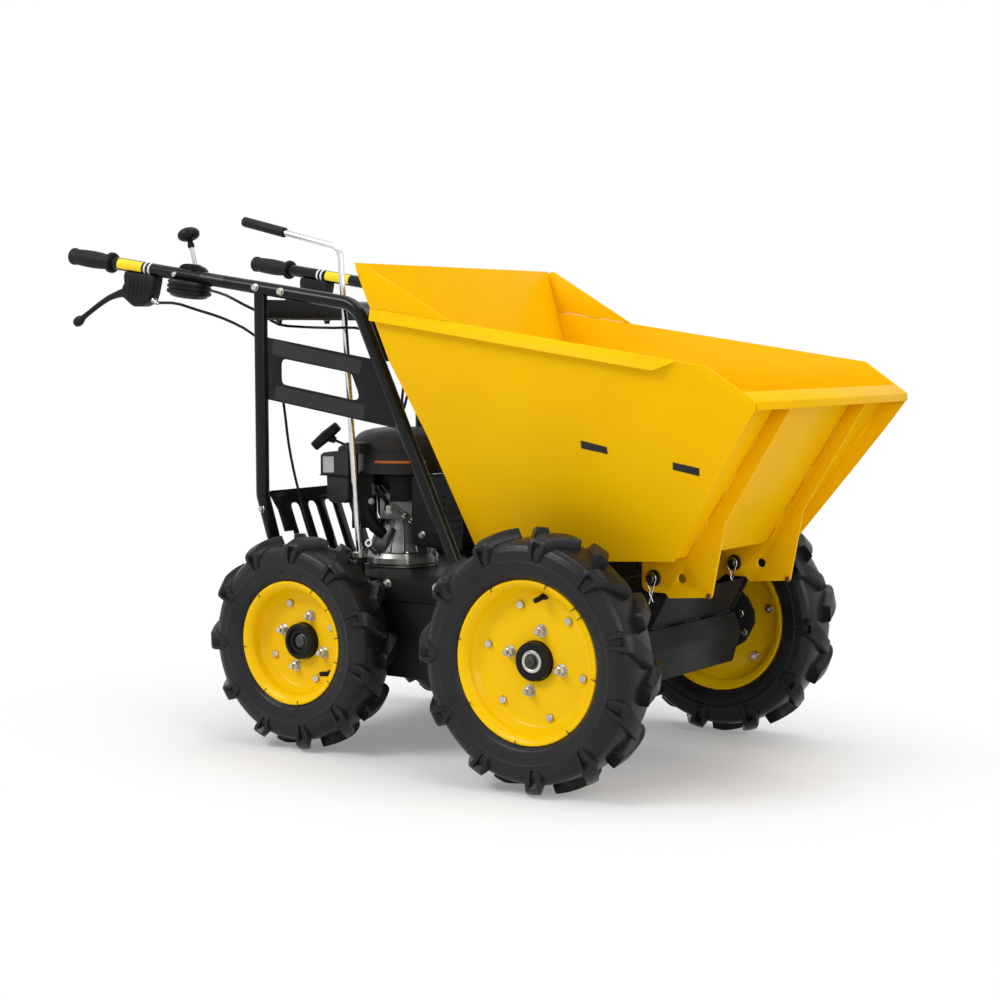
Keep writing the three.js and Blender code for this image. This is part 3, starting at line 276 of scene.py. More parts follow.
# ---- mesh tools
class Maker:
    """Collects vertices and faces for one piece."""

    def __init__(self):
        self.verts = []
        self.faces = []

    def put(self, verts, faces, matrix=None):
        start = len(self.verts)
        self.verts += [matrix @ Vector(v) if matrix else Vector(v) for v in verts]
        self.faces += [[i + start for i in face] for face in faces]

    def rings(self, rings, closed=False, caps=True, matrix=None):
        """Joins rings of points, each of the same count, into a skin."""
        count = len(rings[0])
        verts = [p for ring in rings for p in ring]
        faces = []
        pairs = len(rings) if closed else len(rings) - 1
        for i in range(pairs):
            a, b = i * count, ((i + 1) % len(rings)) * count
            for j in range(count):
                k = (j + 1) % count
                faces.append([a + j, a + k, b + k, b + j])
        if caps and not closed:
            faces.append(list(range(count))[::-1])
            last = (len(rings) - 1) * count
            faces.append([last + j for j in range(count)])
        self.put(verts, faces, matrix)

    def lathe(self, profile, matrix=None, segments=64, closed=None):
        """Turns (radius, height) points, in millimetres, about Z. Off the axis, they make a closed loop."""
        closed = profile[0][0] > 0 if closed is None else closed
        rings = []
        for r, h in profile:
            turns = [2 * math.pi * k / segments for k in range(segments)]
            rings.append([mm(r * math.cos(a), r * math.sin(a), h) for a in turns])
        self.rings(rings, closed=closed, caps=not closed, matrix=matrix)

    def tube(self, points, radius, sides=12, caps=True):
        """A tube along points. radius, in millimetres, is one number or one for each point."""
        points = [Vector(p) for p in points]
        radii = radius if isinstance(radius, (list, tuple)) else [radius] * len(points)
        tangents = []
        for i in range(len(points)):
            ahead = points[min(i + 1, len(points) - 1)] - points[max(i - 1, 0)]
            tangents.append(ahead.normalized())
        side = tangents[0].orthogonal().normalized()
        rings = []
        for i, (p, t) in enumerate(zip(points, tangents)):
            if i:
                side = tangents[i - 1].rotation_difference(t) @ side
            other = t.cross(side)
            rings.append([p + radii[i] * MM * (math.cos(a) * side + math.sin(a) * other)
                          for a in (2 * math.pi * k / sides for k in range(sides))])
        self.rings(rings, caps=caps)

    def box(self, low, high, matrix=None):
        """A plain block from one corner to the other, in millimetres."""
        verts = [mm(x, y, z) for x in (low[0], high[0]) for y in (low[1], high[1]) for z in (low[2], high[2])]
        faces = [[0, 1, 3, 2], [4, 6, 7, 5], [0, 4, 5, 1], [2, 3, 7, 6], [0, 2, 6, 4], [1, 5, 7, 3]]
        self.put(verts, faces, matrix)

    def prism(self, outline, low, high, matrix=None):
        """An outline of (x, y), in millimetres, pushed along Z."""
        self.rings([[mm(x, y, z) for x, y in outline] for z in (low, high)], matrix=matrix)

    def slab(self, outline, ys, place=at):
        """An outline of (x, z), in millimetres, pushed from one y to another."""
        self.rings([[place(x, y, z) for x, z in outline] for y in ys])

    def mesh(self, name):
        mesh = bpy.data.meshes.new(name)
        mesh.from_pydata([tuple(v) for v in self.verts], [], self.faces)
        mesh.update()
        work = bmesh.new()
        work.from_mesh(mesh)
        bmesh.ops.remove_doubles(work, verts=work.verts, dist=1e-6)
        bmesh.ops.dissolve_degenerate(work, dist=1e-7, edges=work.edges)
        bmesh.ops.recalc_face_normals(work, faces=work.faces)
        work.to_mesh(mesh)
        work.free()
        return mesh


def smooth(obj, angle=35):
    """Smooth shading, with edges sharper than angle kept crisp."""
    mesh = obj.data
    work = bmesh.new()
    work.from_mesh(mesh)
    for face in work.faces:
        face.smooth = True
    limit = math.radians(angle)
    for edge in work.edges:
        edge.smooth = len(edge.link_faces) == 2 and edge.calc_face_angle(0.0) < limit
    work.to_mesh(mesh)
    work.free()


def bevel(obj, width, segments=2, angle=40):
    modifier = obj.modifiers.new("bevel", "BEVEL")
    modifier.width = width
    modifier.segments = segments
    modifier.limit_method = "ANGLE"
    modifier.angle_limit = math.radians(angle)
    modifier.harden_normals = False
    bpy.context.view_layer.update()
    graph = bpy.context.evaluated_depsgraph_get()
    mesh = bpy.data.meshes.new_from_object(obj.evaluated_get(graph))
    old = obj.data
    obj.modifiers.clear()
    obj.data = mesh
    bpy.data.meshes.remove(old)


def piece(maker, name, material, body="chassis", angle=30, bevel_width=0.0, segments=2):
    """Makes an object of a Maker's mesh, which rides on a body and takes a slot's finish."""
    obj = bpy.data.objects.new(name, maker.mesh(name))
    bpy.context.scene.collection.objects.link(obj)
    if bevel_width:
        bevel(obj, bevel_width, segments)
    obj.data.materials.clear()
    obj.data.materials.append(material)
    smooth(obj, angle)
    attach(obj, body)
    return obj


BODY_OF = {n: o["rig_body"] for n, o in frame["nodes"].items()}


def refined(node, material, width=0.0006, segments=2, angle=35):
    """A welded, edge-rounded copy of a CAD node that stands for it."""
    source = frame["nodes"][node]
    mesh = source.data.copy()
    obj = bpy.data.objects.new("fine_" + node, mesh)
    bpy.context.scene.collection.objects.link(obj)
    work = bmesh.new()
    work.from_mesh(mesh)
    bmesh.ops.remove_doubles(work, verts=work.verts, dist=2e-6)
    bmesh.ops.dissolve_limit(work, angle_limit=math.radians(0.4), verts=work.verts, edges=work.edges)
    work.to_mesh(mesh)
    work.free()
    if width:
        bevel(obj, width, segments)
    obj.data.materials.clear()
    obj.data.materials.append(material)
    smooth(obj, angle)
    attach(obj, BODY_OF[node])
    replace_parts(obj, node)
    return obj


def facing(point, axis, turn=0.0):
    """A matrix that puts Z along axis at point."""
    spin = Vector((0, 0, 1)).rotation_difference(Vector(axis).normalized())
    return Matrix.Translation(point) @ spin.to_matrix().to_4x4() @ Matrix.Rotation(turn, 4, "Z")


def bolt(maker, point, axis, across=13, height=5.5, washer=0, turn=0.3, stud=0, nyloc=False):
    """A hexagon head or nut, seated on its washer, with its stud where it has one. Millimetres."""
    m = facing(point, axis, turn)
    base = -0.4
    if washer:
        maker.lathe([(0, base), (washer, base), (washer, 1.1), (washer - 0.5, 1.6), (0, 1.6)], m, 28)
        base = 1.5
    radius, top = across / math.sqrt(3), base + height
    corners = [(radius * math.cos(math.pi / 3 * k), radius * math.sin(math.pi / 3 * k)) for k in range(6)]
    levels = ((1.0, base), (1.0, top - 0.8), (0.90, top))
    maker.rings([[mm(x * share, y * share, z) for x, y in corners] for share, z in levels], matrix=m)
    if nyloc:
        r = across * 0.44
        collar = [(0, top - 0.2), (r, top - 0.2), (r, top + 1.6), (r - 1.2, top + 2.4), (0, top + 2.4)]
        maker.lathe(collar, m, 24)
        top += 2.4
    if stud:
        r = across * 0.30
        thread = [(0, top - 0.5), (r, top - 0.5), (r, top + stud - 0.7), (r - 0.8, top + stud),
                  (0, top + stud)]
        maker.lathe(thread, m, 20)


# ---- wheels
# millimetres and degrees; outer and inner are bolt circles: how many, radius, first angle;
# valve is its foot's radius and angle, its tip's, and how far off the disc it starts
WHEELS = {
    "front": dict(axle=AXLE_F, phase=0.15, radius=225, half=52.5, flange=140, seat=127, disc=4, nose=19,
                  outer=(6, 97.5, -12.5), inner=(4, 53, 77.5), valve=(115, 78.5, 106.5, 80.5, 5),
                  hairs=(18, 45, 52, 97, 141, 188, 236, 283, 331), seed=7),
    "rear": dict(axle=AXLE_R, phase=0.073, radius=201, half=49, flange=116, seat=102, disc=-4, nose=14,
                 outer=(4, 75, 24), inner=(4, 51.5, 69.7), valve=(86, -41, 83.5, -39.5, 1),
                 hairs=(28, 52, 80, 104, 125, 171, 214, 262, 318), seed=11),
}
RIM_HALF, HUB_RADIUS, LUGS, TYRE_STEPS = 37, 33, 11, 132

# the tyre's skin: place along it, share of the wall's height, share of the half-width
SKIN = [(0.0, 0.010, 0.70), (0.10, 0.07, 0.80), (0.20, 0.17, 0.86), (0.32, 0.30, 0.905), (0.44, 0.44, 0.925),
        (0.55, 0.56, 0.905), (0.66, 0.675, 0.83), (0.76, 0.745, 0.71), (0.86, 0.785, 0.48),
        (0.94, 0.797, 0.24), (1.0, 0.80, 0.0)]

# a lug starts as two ribs on the wall, joins at the shoulder and sweeps to the middle:
# place on the skin, height, angle, half-width at the root and at the top, depth of the slot
LUG = [(0.400, 0.4, 0.000, 8.0, 6.5, 0.0), (0.425, 2.6, 0.000, 9.5, 7.8, 0.0),
       (0.440, 3.6, 0.000, 10.2, 8.4, 0.90), (0.50, 6.2, 0.000, 12.5, 10.6, 0.92),
       (0.56, 8.8, 0.002, 15.0, 12.8, 0.92), (0.62, 11.0, 0.006, 17.6, 14.8, 0.90),
       (0.665, 12.4, 0.011, 19.0, 15.8, 0.88), (0.685, 13.0, 0.014, 19.6, 16.0, 0.0),
       (0.74, 14.2, 0.028, 20.0, 15.8, 0.0), (0.79, 15.2, 0.048, 19.6, 15.4, 0.0),
       (0.84, 16.0, 0.075, 18.6, 14.8, 0.0), (0.89, 16.6, 0.108, 17.6, 14.0, 0.0),
       (0.95, 17.0, 0.146, 16.4, 13.0, 0.0), (1.0, 17.0, 0.178, 15.4, 12.2, 0.0),
       (1.04, 17.0, 0.200, 14.0, 11.0, 0.0)]


def section(w, t):
    """The tyre's bare outer skin from the bead (t = 0) over the crown (t = 1): radius, half-width."""
    wall = w["radius"] - w["flange"]
    for (t0, r0, y0), (t1, r1, y1) in zip(SKIN, SKIN[1:]):
        if t <= t1:
            k = (t - t0) / (t1 - t0)
            k = k * k * (3 - 2 * k) * 0.35 + k * 0.65
            return w["flange"] + wall * (r0 + k * (r1 - r0)), w["half"] * (y0 + k * (y1 - y0))


def lug_ring(w, station, row, start, point):
    """One cut across a lug, from root to root."""
    t, high, sweep, root, top, slot = station
    r, y = section(w, min(t, 1.0))
    if t > 1.0:
        y = -(t - 1.0) * 1.04 * w["half"]
        normal = Vector((1.0, 0.0))
    else:
        r2, y2 = section(w, t - 0.02)
        along = Vector((r - r2, y - y2)).normalized()
        normal = Vector((-along.y, along.x))
        if (normal.x if t > 0.5 else normal.y) < 0:
            normal.negate()
    crown = (w["radius"] - w["flange"]) * 0.20
    height = high * crown / 17
    root, top = (half * w["radius"] / 225 for half in (root, top))
    crisp = min(1.2, height * 0.25)
    low = height * (1 - slot)
    side = [(root, -5), (root, 0.0), (top, height - crisp), (top - crisp, height), (top * 0.50, height),
            (top * 0.42, low)]
    ring = []
    for across, lift in [(-a, h) for a, h in side] + side[::-1]:
        radius = min(r + normal.x * lift, w["radius"] - 0.15)
        width = min(y + normal.y * lift, w["half"] - 0.1)
        ring.append(point(radius, row * width, start + sweep + across / radius))
    return ring


def tyre(place, side):
    w = WHEELS[place]
    flange, seat, half = w["flange"], w["seat"], w["half"]
    centre = Vector((w["axle"].x, side * abs(w["axle"].y), w["axle"].z))
    maker = Maker()

    def point(radius, y, turn):
        """y is outboard; turn grows with forward rolling."""
        return centre + mm(radius * math.sin(turn), side * y, radius * math.cos(turn))

    # the carcass, with two fine mould ridges on each wall
    wall = w["radius"] - flange
    ridges = [(flange + wall * 0.355, 1.6), (flange + wall * 0.10, 0.9)]
    skin = []
    for r, y in (section(w, i / 40) for i in range(41)):
        lift = sum(h * math.exp(-(((r - r0) / 1.6) ** 2)) for r0, h in ridges if y > 0.3 * half)
        skin.append((r, y + lift))
    inside = [(flange + 0.2, RIM_HALF - 2.5), (flange - 4, RIM_HALF - 6), (seat + 0.4, RIM_HALF - 7)]
    loop = inside[::-1] + skin + [(r, -y) for r, y in skin[-2::-1] + inside]
    maker.rings([[point(r, y, 2 * math.pi * k / TYRE_STEPS) for r, y in loop] for k in range(TYRE_STEPS)],
                closed=True)

    for row in (1, -1):
        for k in range(LUGS):
            start = 2 * math.pi * (k + (0.5 if row < 0 else 0.0)) / LUGS + w["phase"]
            maker.rings([lug_ring(w, station, row, start, point) for station in LUG])

    # vent spews: short rubber hairs left by the mould, long ones over the rim and small ones on the walls
    rng = random.Random(w["seed"])
    for degrees in w["hairs"]:
        turn = math.radians(degrees)
        edge = point(flange + 3, half * 0.72, turn)
        lip = point(flange - 8, half * 0.76, turn + rng.uniform(-0.02, 0.02))
        maker.tube([edge, edge.lerp(lip, 0.5), lip], [1.0, 0.95, 0.8], 6)
    for _ in range(60):
        turn = rng.uniform(0, 2 * math.pi)
        r, y = section(w, rng.choice((0.10, 0.24, 0.60, 0.66)))
        row = rng.choice((1, 1, -1))
        foot = point(r - 1, row * (y - 1), turn)
        tip = point(r - 1, row * min(y + 3.5, half - 0.3), turn + rng.uniform(-0.02, 0.02))
        maker.tube([foot, foot.lerp(tip, 0.6), tip], 0.5, 5)

    name = f"tyre_{place}_{SIDE_NAME[side]}"
    obj = piece(maker, "lugged_" + name, mat_tyre, f"wheel_{place}_{SIDE_NAME[side]}")
    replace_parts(obj, name)


def fillet(points, radius, steps=5):
    """Rounds the corners of a closed (radius, height) profile."""
    out = []
    count = len(points)
    for i, p in enumerate(points):
        p = Vector(p)
        a, b = Vector(points[i - 1]), Vector(points[(i + 1) % count])
        da, db = (a - p).length, (b - p).length
        size = min(radius, da * 0.45, db * 0.45)
        start, end = p.lerp(a, size / da), p.lerp(b, size / db)
        for k in range(steps + 1):
            t = k / steps
            out.append(tuple(start * (1 - t) ** 2 + p * 2 * t * (1 - t) + end * t ** 2))
    return out


def rim_profile(w):
    """The rim's closed section from the outer flange over the disc to the inner flange and back."""
    flange, seat, disc, half, bore = w["flange"], w["seat"], w["disc"], RIM_HALF, HUB_RADIUS + 0.8
    return fillet([(flange - 0.1, half - 2.2), (flange - 1.6, half - 0.2), (flange - 5, half - 0.5),
                   (seat + 2, half - 4.6), (seat - 3.5, half - 11), (seat - 5.5, disc + 16),
                   (seat - 15, disc + 3.5), (seat - 24, disc - 0.2), (bore + 4, disc), (bore, disc - 0.6),
                   (bore, disc - 4.6), (seat - 24, disc - 4.8), (seat - 14, disc - 8), (seat - 6, disc - 18),
                   (seat - 4.5, 9 - half), (seat + 2, 3.6 - half), (flange - 5, 0.4 - half),
                   (flange - 1.6, 0.2 - half), (flange - 0.1, 2.2 - half), (flange - 2, 3.4 - half),
                   (seat + 4.5, 5.6 - half), (seat - 0.2, 11 - half), (seat - 1.5, 0.0),
                   (seat - 0.2, half - 12.5), (seat + 4.5, half - 5.8), (flange - 2, half - 3.6)], 4, 4)


def hub_profile(w, low, recess):
    """The hub from its stub in the case to its nose, with the recess turned into the nose."""
    back, nose, radius = w["disc"] - 5.3, w["nose"], HUB_RADIUS
    return [(0, low), (14.9, low), (14.9, low + 16), (27, low + 16.2), (28, back - 10), (60, back - 10),
            (62, back - 8), (62, back - 0.2), (radius, back), (radius, nose - 2.5),
            (radius - 2.5, nose - 0.1)] + recess


def wheel(place, side):
    w = WHEELS[place]
    disc, nose, front = w["disc"], w["nose"], place == "front"
    name = f"{place}_{SIDE_NAME[side]}"
    body = "wheel_" + name
    outward = Vector((0, side, 0))
    m = facing(Vector((w["axle"].x, side * abs(w["axle"].y), w["axle"].z)), outward)
    tyre(place, side)

    def on_disc(radius, a, out):
        return m @ mm(radius * math.cos(a), radius * math.sin(a), disc + out)

    def circle(count, radius, degrees):
        """A bolt circle: its radius and the angle of each bolt."""
        return radius, [math.radians(degrees) + 2 * math.pi * k / count for k in range(count)]

    rim = Maker()
    rim.lathe(rim_profile(w), m, 96)
    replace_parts(piece(rim, "pressed_rim_" + name, mat_rim, body, angle=50), "rim_" + name)

    hub = Maker()
    stub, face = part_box("hub_" + name)
    if front:
        recess = [(21, nose - 0.1), (20.4, nose - 3), (0, nose - 3)]
    else:
        recess = [(25, nose - 0.1), (23, nose - 5), (16, nose - 6), (15, nose - 11), (0, nose - 11)]
    hub.lathe(hub_profile(w, nose - (face.y - stub.y) / MM, recess), m, 56)
    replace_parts(piece(hub, "turned_hub_" + name, mat_hub, body), "hub_" + name)

    steel, end = Maker(), Maker()
    centre_m = m @ Matrix.Translation(mm(0, 0, nose - (3.2 if front else 11.2)))
    if front:
        steel.lathe([(13.6, 0), (19.6, 0), (19.6, 2.2), (18.2, 3.4), (15.4, 3.4), (13.6, 2.4)], centre_m, 44)
        cap = [(0, 0.1), (13.4, 0.1), (13.4, 1.6), (9.6, 2.0), (9.0, 5.0), (7.6, 6.2), (3, 6.2), (2, 4.8),
               (0, 4.8)]
    else:
        cap = [(0, 0), (14.4, 0), (14.4, 2.4), (12.4, 3.6), (11.2, 3.2), (10.8, 5.4), (9.4, 6.6), (3, 6.6),
               (2, 5.2), (0, 5.2)]
    end.lathe(cap, centre_m, 36)
    piece(end, "axle_end_" + name, mat_steel, body)
    radius, angles = circle(*w["outer"])
    for a in angles:
        bolt(steel, on_disc(radius, a, -0.2), outward, 12.5, 5.6, turn=a * 2.3)
        bolt(steel, on_disc(radius, a, -5.0), -outward, 13, 6.5, washer=9, turn=a, stud=4)
    piece(steel, "wheel_bolts_" + name, mat_zinc, body)
    nuts = Maker()
    radius, angles = circle(*w["inner"])
    for a in angles:
        bolt(nuts, on_disc(radius, a, -0.1), outward, 15.5, 8, washer=11, turn=a * 1.7, stud=7, nyloc=True)
    piece(nuts, "hub_nuts_" + name, mat_zinc, body)

    # the valve stands out of the disc, a little towards the middle
    valve = Maker()
    foot_r, foot_turn, tip_r, tip_turn, start = w["valve"]
    foot, tip = on_disc(foot_r, math.radians(foot_turn), start), on_disc(tip_r, math.radians(tip_turn), 30)
    marks = [(0.0, 7.4), (0.16, 6.8), (0.22, 5.0), (0.62, 4.4), (0.63, 3.6), (0.68, 3.6), (0.69, 4.7),
             (0.96, 4.6), (1.0, 3.4)]
    valve.tube([foot.lerp(tip, t) for t, _ in marks], [r for _, r in marks], 18)
    piece(valve, "valve_" + name, mat_plastic_black, body, angle=40)


for side in (LEFT, RIGHT):
    wheel("front", side)
    wheel("rear", side)


# ---- hopper
for node in ("hopper_back", "hopper_floor", "hopper_front"):
    refined(node, mat_hopper, 0.0009)
for side in (LEFT, RIGHT):
    for node in ("side", "gusset", "bracket"):
        refined(f"hopper_{node}_{SIDE_NAME[side]}", mat_hopper, 0.0009)


def bead(maker, start, end, radius, rng, step=4.0):
    """One run of weld: a lumpy half-sunk bead between two points, in millimetres."""
    start, end = Vector(start), Vector(end)
    count = max(3, int((end - start).length / step))
    points, radii = [], []
    for k in range(count + 1):
        spot = start.lerp(end, k / count)
        spot += Vector([rng.uniform(-0.35, 0.35) for _ in range(3)])
        points.append(at(*spot))
        taper = 0.45 if k in (0, count) else 1.0
        radii.append(radius * taper * rng.uniform(0.72, 1.18))
    maker.tube(points, radii, 8)


def welds():
    maker = Maker()
    rng = random.Random(21)

    def wall(z):
        return 188.4 + 0.64 * (z - 403)

    # stitch welds up both faces of the two ribs on the front wall
    for y in (-148.4, -142.6, 142.6, 148.4):
        z = 412 + rng.uniform(0, 14)
        while z < 622:
            run = rng.uniform(26, 52)
            top = min(z + run, 640)
            bead(maker, (wall(z), y, z), (wall(top), y, top), 2.3, rng)
            z = top + rng.uniform(22, 46)
    # along the foot of the front wall, behind the lip and up the side edges
    for side in (LEFT, RIGHT):
        for x in (-95, -20, 60, 128):
            bead(maker, (x, side * 141.5, 366.0 + (x + 212) * 0.0652 + 5), (x + 24, side * 141.5,
                    367.5 + (x + 212) * 0.0652 + 5), 2.0, rng)
        # inside: each gusset on its side panel, and down the back corners
        for x0, x1 in ((-372, -352), (-300, -268), (-222, -201)):
            z0, z1 = (816.8 - (x + 374.7) * 0.1431 + 1.5 for x in (x0, x1))
            bead(maker, (x0, side * 300.6, z0), (x1, side * 300.4, z1), 1.9, rng)
        for z0, z1 in ((880, 868), (838, 822), (760, 742), (655, 640)):
            ends = []
            for z in (z0, z1):
                y = 311.0 - (897 - z) * 0.131 if z > 816.8 else (300.4 - (816.8 - z) * 0.12
                        if z > 720.7 else 289.0 - (720.7 - z) * 0.367)
                ends.append((-336.5 - 0.36 * (z - 720.7), side * y, z))
            bead(maker, *ends, 2.0, rng)
    piece(maker, "weld_beads", mat_weld, "hopper", angle=60)


welds()


def panel_finder(side):
    """Finds points on the outside of a side panel, lifted off it by some millimetres."""
    panel = frame["nodes"]["hopper_side_" + SIDE_NAME[side]]
    verts = [panel.matrix_world @ v.co for v in panel.data.vertices]
    tree = BVHTree.FromPolygons(verts, [list(p.vertices) for p in panel.data.polygons])

    def on_panel(x, z, lift):
        spot, normal, _, _ = tree.ray_cast(at(x, side * 600, z), Vector((0, -side, 0)))
        return spot + normal * math.copysign(lift * MM, normal.y * side)

    return on_panel


def stripes():
    bars = [[(48.6, 593.3), (100.3, 583.6), (98.6, 571.9), (46.6, 579.9)], [(226.2, 562.7), (275.3, 554.3),
            (273.7, 541.5), (224.6, 550.4)]]
    for side in (LEFT, RIGHT):
        maker = Maker()
        on_panel = panel_finder(side)
        for bar in bars:
            outer = [on_panel(x, z, 0.8) for x, z in bar]
            inner = [on_panel(x, z, -0.6) for x, z in bar]
            maker.rings([inner, outer])
        piece(maker, f"side_stripes_{SIDE_NAME[side]}", mat_stripe, "hopper", angle=35)


stripes()

# ---- chassis
for node in ("chassis_case", "engine_deck", "front_axle", "pivot_bracket"):
    refined(node, mat_chassis, 0.0012)
for node in ("frame_cross_bar", "console_panel", "back_plate", "rear_guard"):
    refined(node, mat_frame, 0.0008)
refined("gear_lever_socket", mat_chassis, 0.0006)


PIVOT_FACES = ((RIGHT, -148.2), (LEFT, 142.8))  # the right-hand face of each hopper bracket


def pivots():
    """Both pins: a washer on each bracket, the pin's end, and a sprung clip through it."""
    black, shiny = Maker(), Maker()
    for side, face in PIVOT_FACES:
        spot = at(118.5, face, 354)
        m = facing(spot, (0, -1, 0))
        black.lathe([(8.2, -0.1), (14.5, -0.1), (14.5, 1.6), (13.8, 2.2), (8.2, 2.2)], m, 32)
        name = f"pivot_pin_{SIDE_NAME[side]}"
        low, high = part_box(name)
        length = (high.y - low.y) / MM
        pin = Maker()
        pin.lathe([(0, 0), (11.2, 0), (12, 0.8), (12, 4.2), (11.2, 5), (8, 5), (8, length - 1.8),
                   (6.4, length), (2.2, length), (1.6, length - 1.2), (0, length - 1.2)],
                  facing(Vector((spot.x, high.y, spot.z)), (0, -1, 0)), 32)
        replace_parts(piece(pin, "fine_" + name, mat_steel), name)
        # the clip: one straight leg through the pin, one waved leg round it, both hanging down
        end = Vector((spot.x, low.y + 7 * MM, spot.z))
        turns = (math.radians(d) for d in range(215, -46, -18))
        loop = [(9.6 * math.cos(a), 9.6 * math.sin(a), 0.6) for a in turns]
        waved = [(-9, -7, 0.8), (-5, -14, 1), (-1.5, -20, 1), (-3, -27, 1), (1.5, -33, 1), (4, -40, 1)]
        straight = [(0, 7.5, 0.2), (7.5, 6.5, 0.2), (9.6, 0, 0.2), (6.8, -6.8, -0.4), (5.2, -14, -0.6),
                    (1, -26, -0.6), (-2, -35, -0.6), (-4.5, -44, -0.6)]
        for leg in (loop[::-1] + waved, straight):
            shiny.tube([end + mm(x, -out, z) for x, z, out in leg], 1.15, 8)
    piece(black, "pivot_washers", mat_steel, "hopper")
    piece(shiny, "pivot_clips", mat_chrome, angle=60)
    nut = Maker()
    for _, face in PIVOT_FACES:
        bolt(nut, at(227, face, 330.5), (0, -1, 0), 9, 4.5, turn=0.4)
    piece(nut, "bracket_studs", mat_copper, "hopper")


pivots()


def rest_plate():
    """The upright plate on the case that the hopper's floor comes down to, cut out for the two brackets."""
    maker = Maker()
    half = [(186, 322.6), (186, 348), (178, 360), (164, 360), (164, 334), (128, 334), (128, 360)]
    outline = half + [(-y, z) for y, z in half[::-1]]
    maker.rings([[at(x, y, z) for y, z in outline] for x in (-61.5, -58.5)])
    for y in (-96, 0, 96):
        bolt(maker, at(-58.6, y, 341), (1, 0, 0), 10, 4, turn=y)
    piece(maker, "rest_plate", mat_chassis)


rest_plate()


def chassis_bolts():
    maker = Maker()
    for side in (LEFT, RIGHT):
        out = (0, side, 0)
        for x in (-426.6, -311.5):
            bolt(maker, at(x, side * 190.1, 311.5), out, 13, 6, washer=9.5, turn=0.5, stud=2.5)
        bolt(maker, at(-640, side * 190.1, 303), out, 13, 6, washer=9.5, turn=0.9, stud=2.5)
        bolt(maker, at(-104, side * 190.1, 303), out, 13, 6, washer=9.5, turn=0.2, stud=2.5)
        # through the ends of the front axle's housing
        for x, z in ((70, 243), (78, 208), (-60, 240), (-60, 205)):
            bolt(maker, at(x, side * 261.8, z), (0, -side, 0), 12, 5, turn=x)
        bolt(maker, at(96, side * 152, 260.1), (0, 0, 1), 11, 4.5, turn=0.3)
    piece(maker, "chassis_bolts", mat_zinc)
    # welds along the axle housing, the leaning plate and the case
    seams = Maker()
    rng = random.Random(4)
    for y0, y1 in ((-132, -70), (-20, 40), (96, 150)):
        bead(seams, (104.5, y0, 261.5), (104.5, y1, 261.5), 2.2, rng)
    for side in (LEFT, RIGHT):
        for x0, x1 in ((-640, -560), (-470, -400), (-250, -180)):
            bead(seams, (x0, side * 186.8, 280.5), (x1, side * 186.8, 280.5), 1.8, rng)
    piece(seams, "chassis_welds", mat_chassis, angle=60)


chassis_bolts()


# ---- frames and handles
SPLAY, SLOPE = math.radians(2.63), math.radians(8.36)


def frame_place(side):
    return Matrix.Translation(at(-676, side * 249, 0)) @ Matrix.Rotation(-side * SPLAY, 4, "Z")


def handle_place(side):
    """X runs forward along the handle's axis and Z stands square to it."""
    return frame_place(side) @ Matrix.Translation((0, 0, 857.8 * MM)) @ Matrix.Rotation(SLOPE, 4, "Y")


def along_handle(m, x=0.0):
    return m @ Matrix.Translation((x * MM, 0, 0)) @ Matrix.Rotation(math.pi / 2, 4, "Y")


def patch(maker, m, radius, x0, x1, start, end, thick=0.25, steps=14):
    """A blank label bent round a tube, from one angle to the other: degrees from the left towards the top."""
    rings = []
    for x in (x0, x1):
        ring = []
        for r in (radius - 0.2, radius + thick):
            angles = [math.radians(start + (end - start) * k / steps) for k in range(steps + 1)]
            if r > radius:
                angles.reverse()
            ring += [m @ mm(x, r * math.cos(a), r * math.sin(a)) for a in angles]
        rings.append(ring)
    maker.rings(rings)


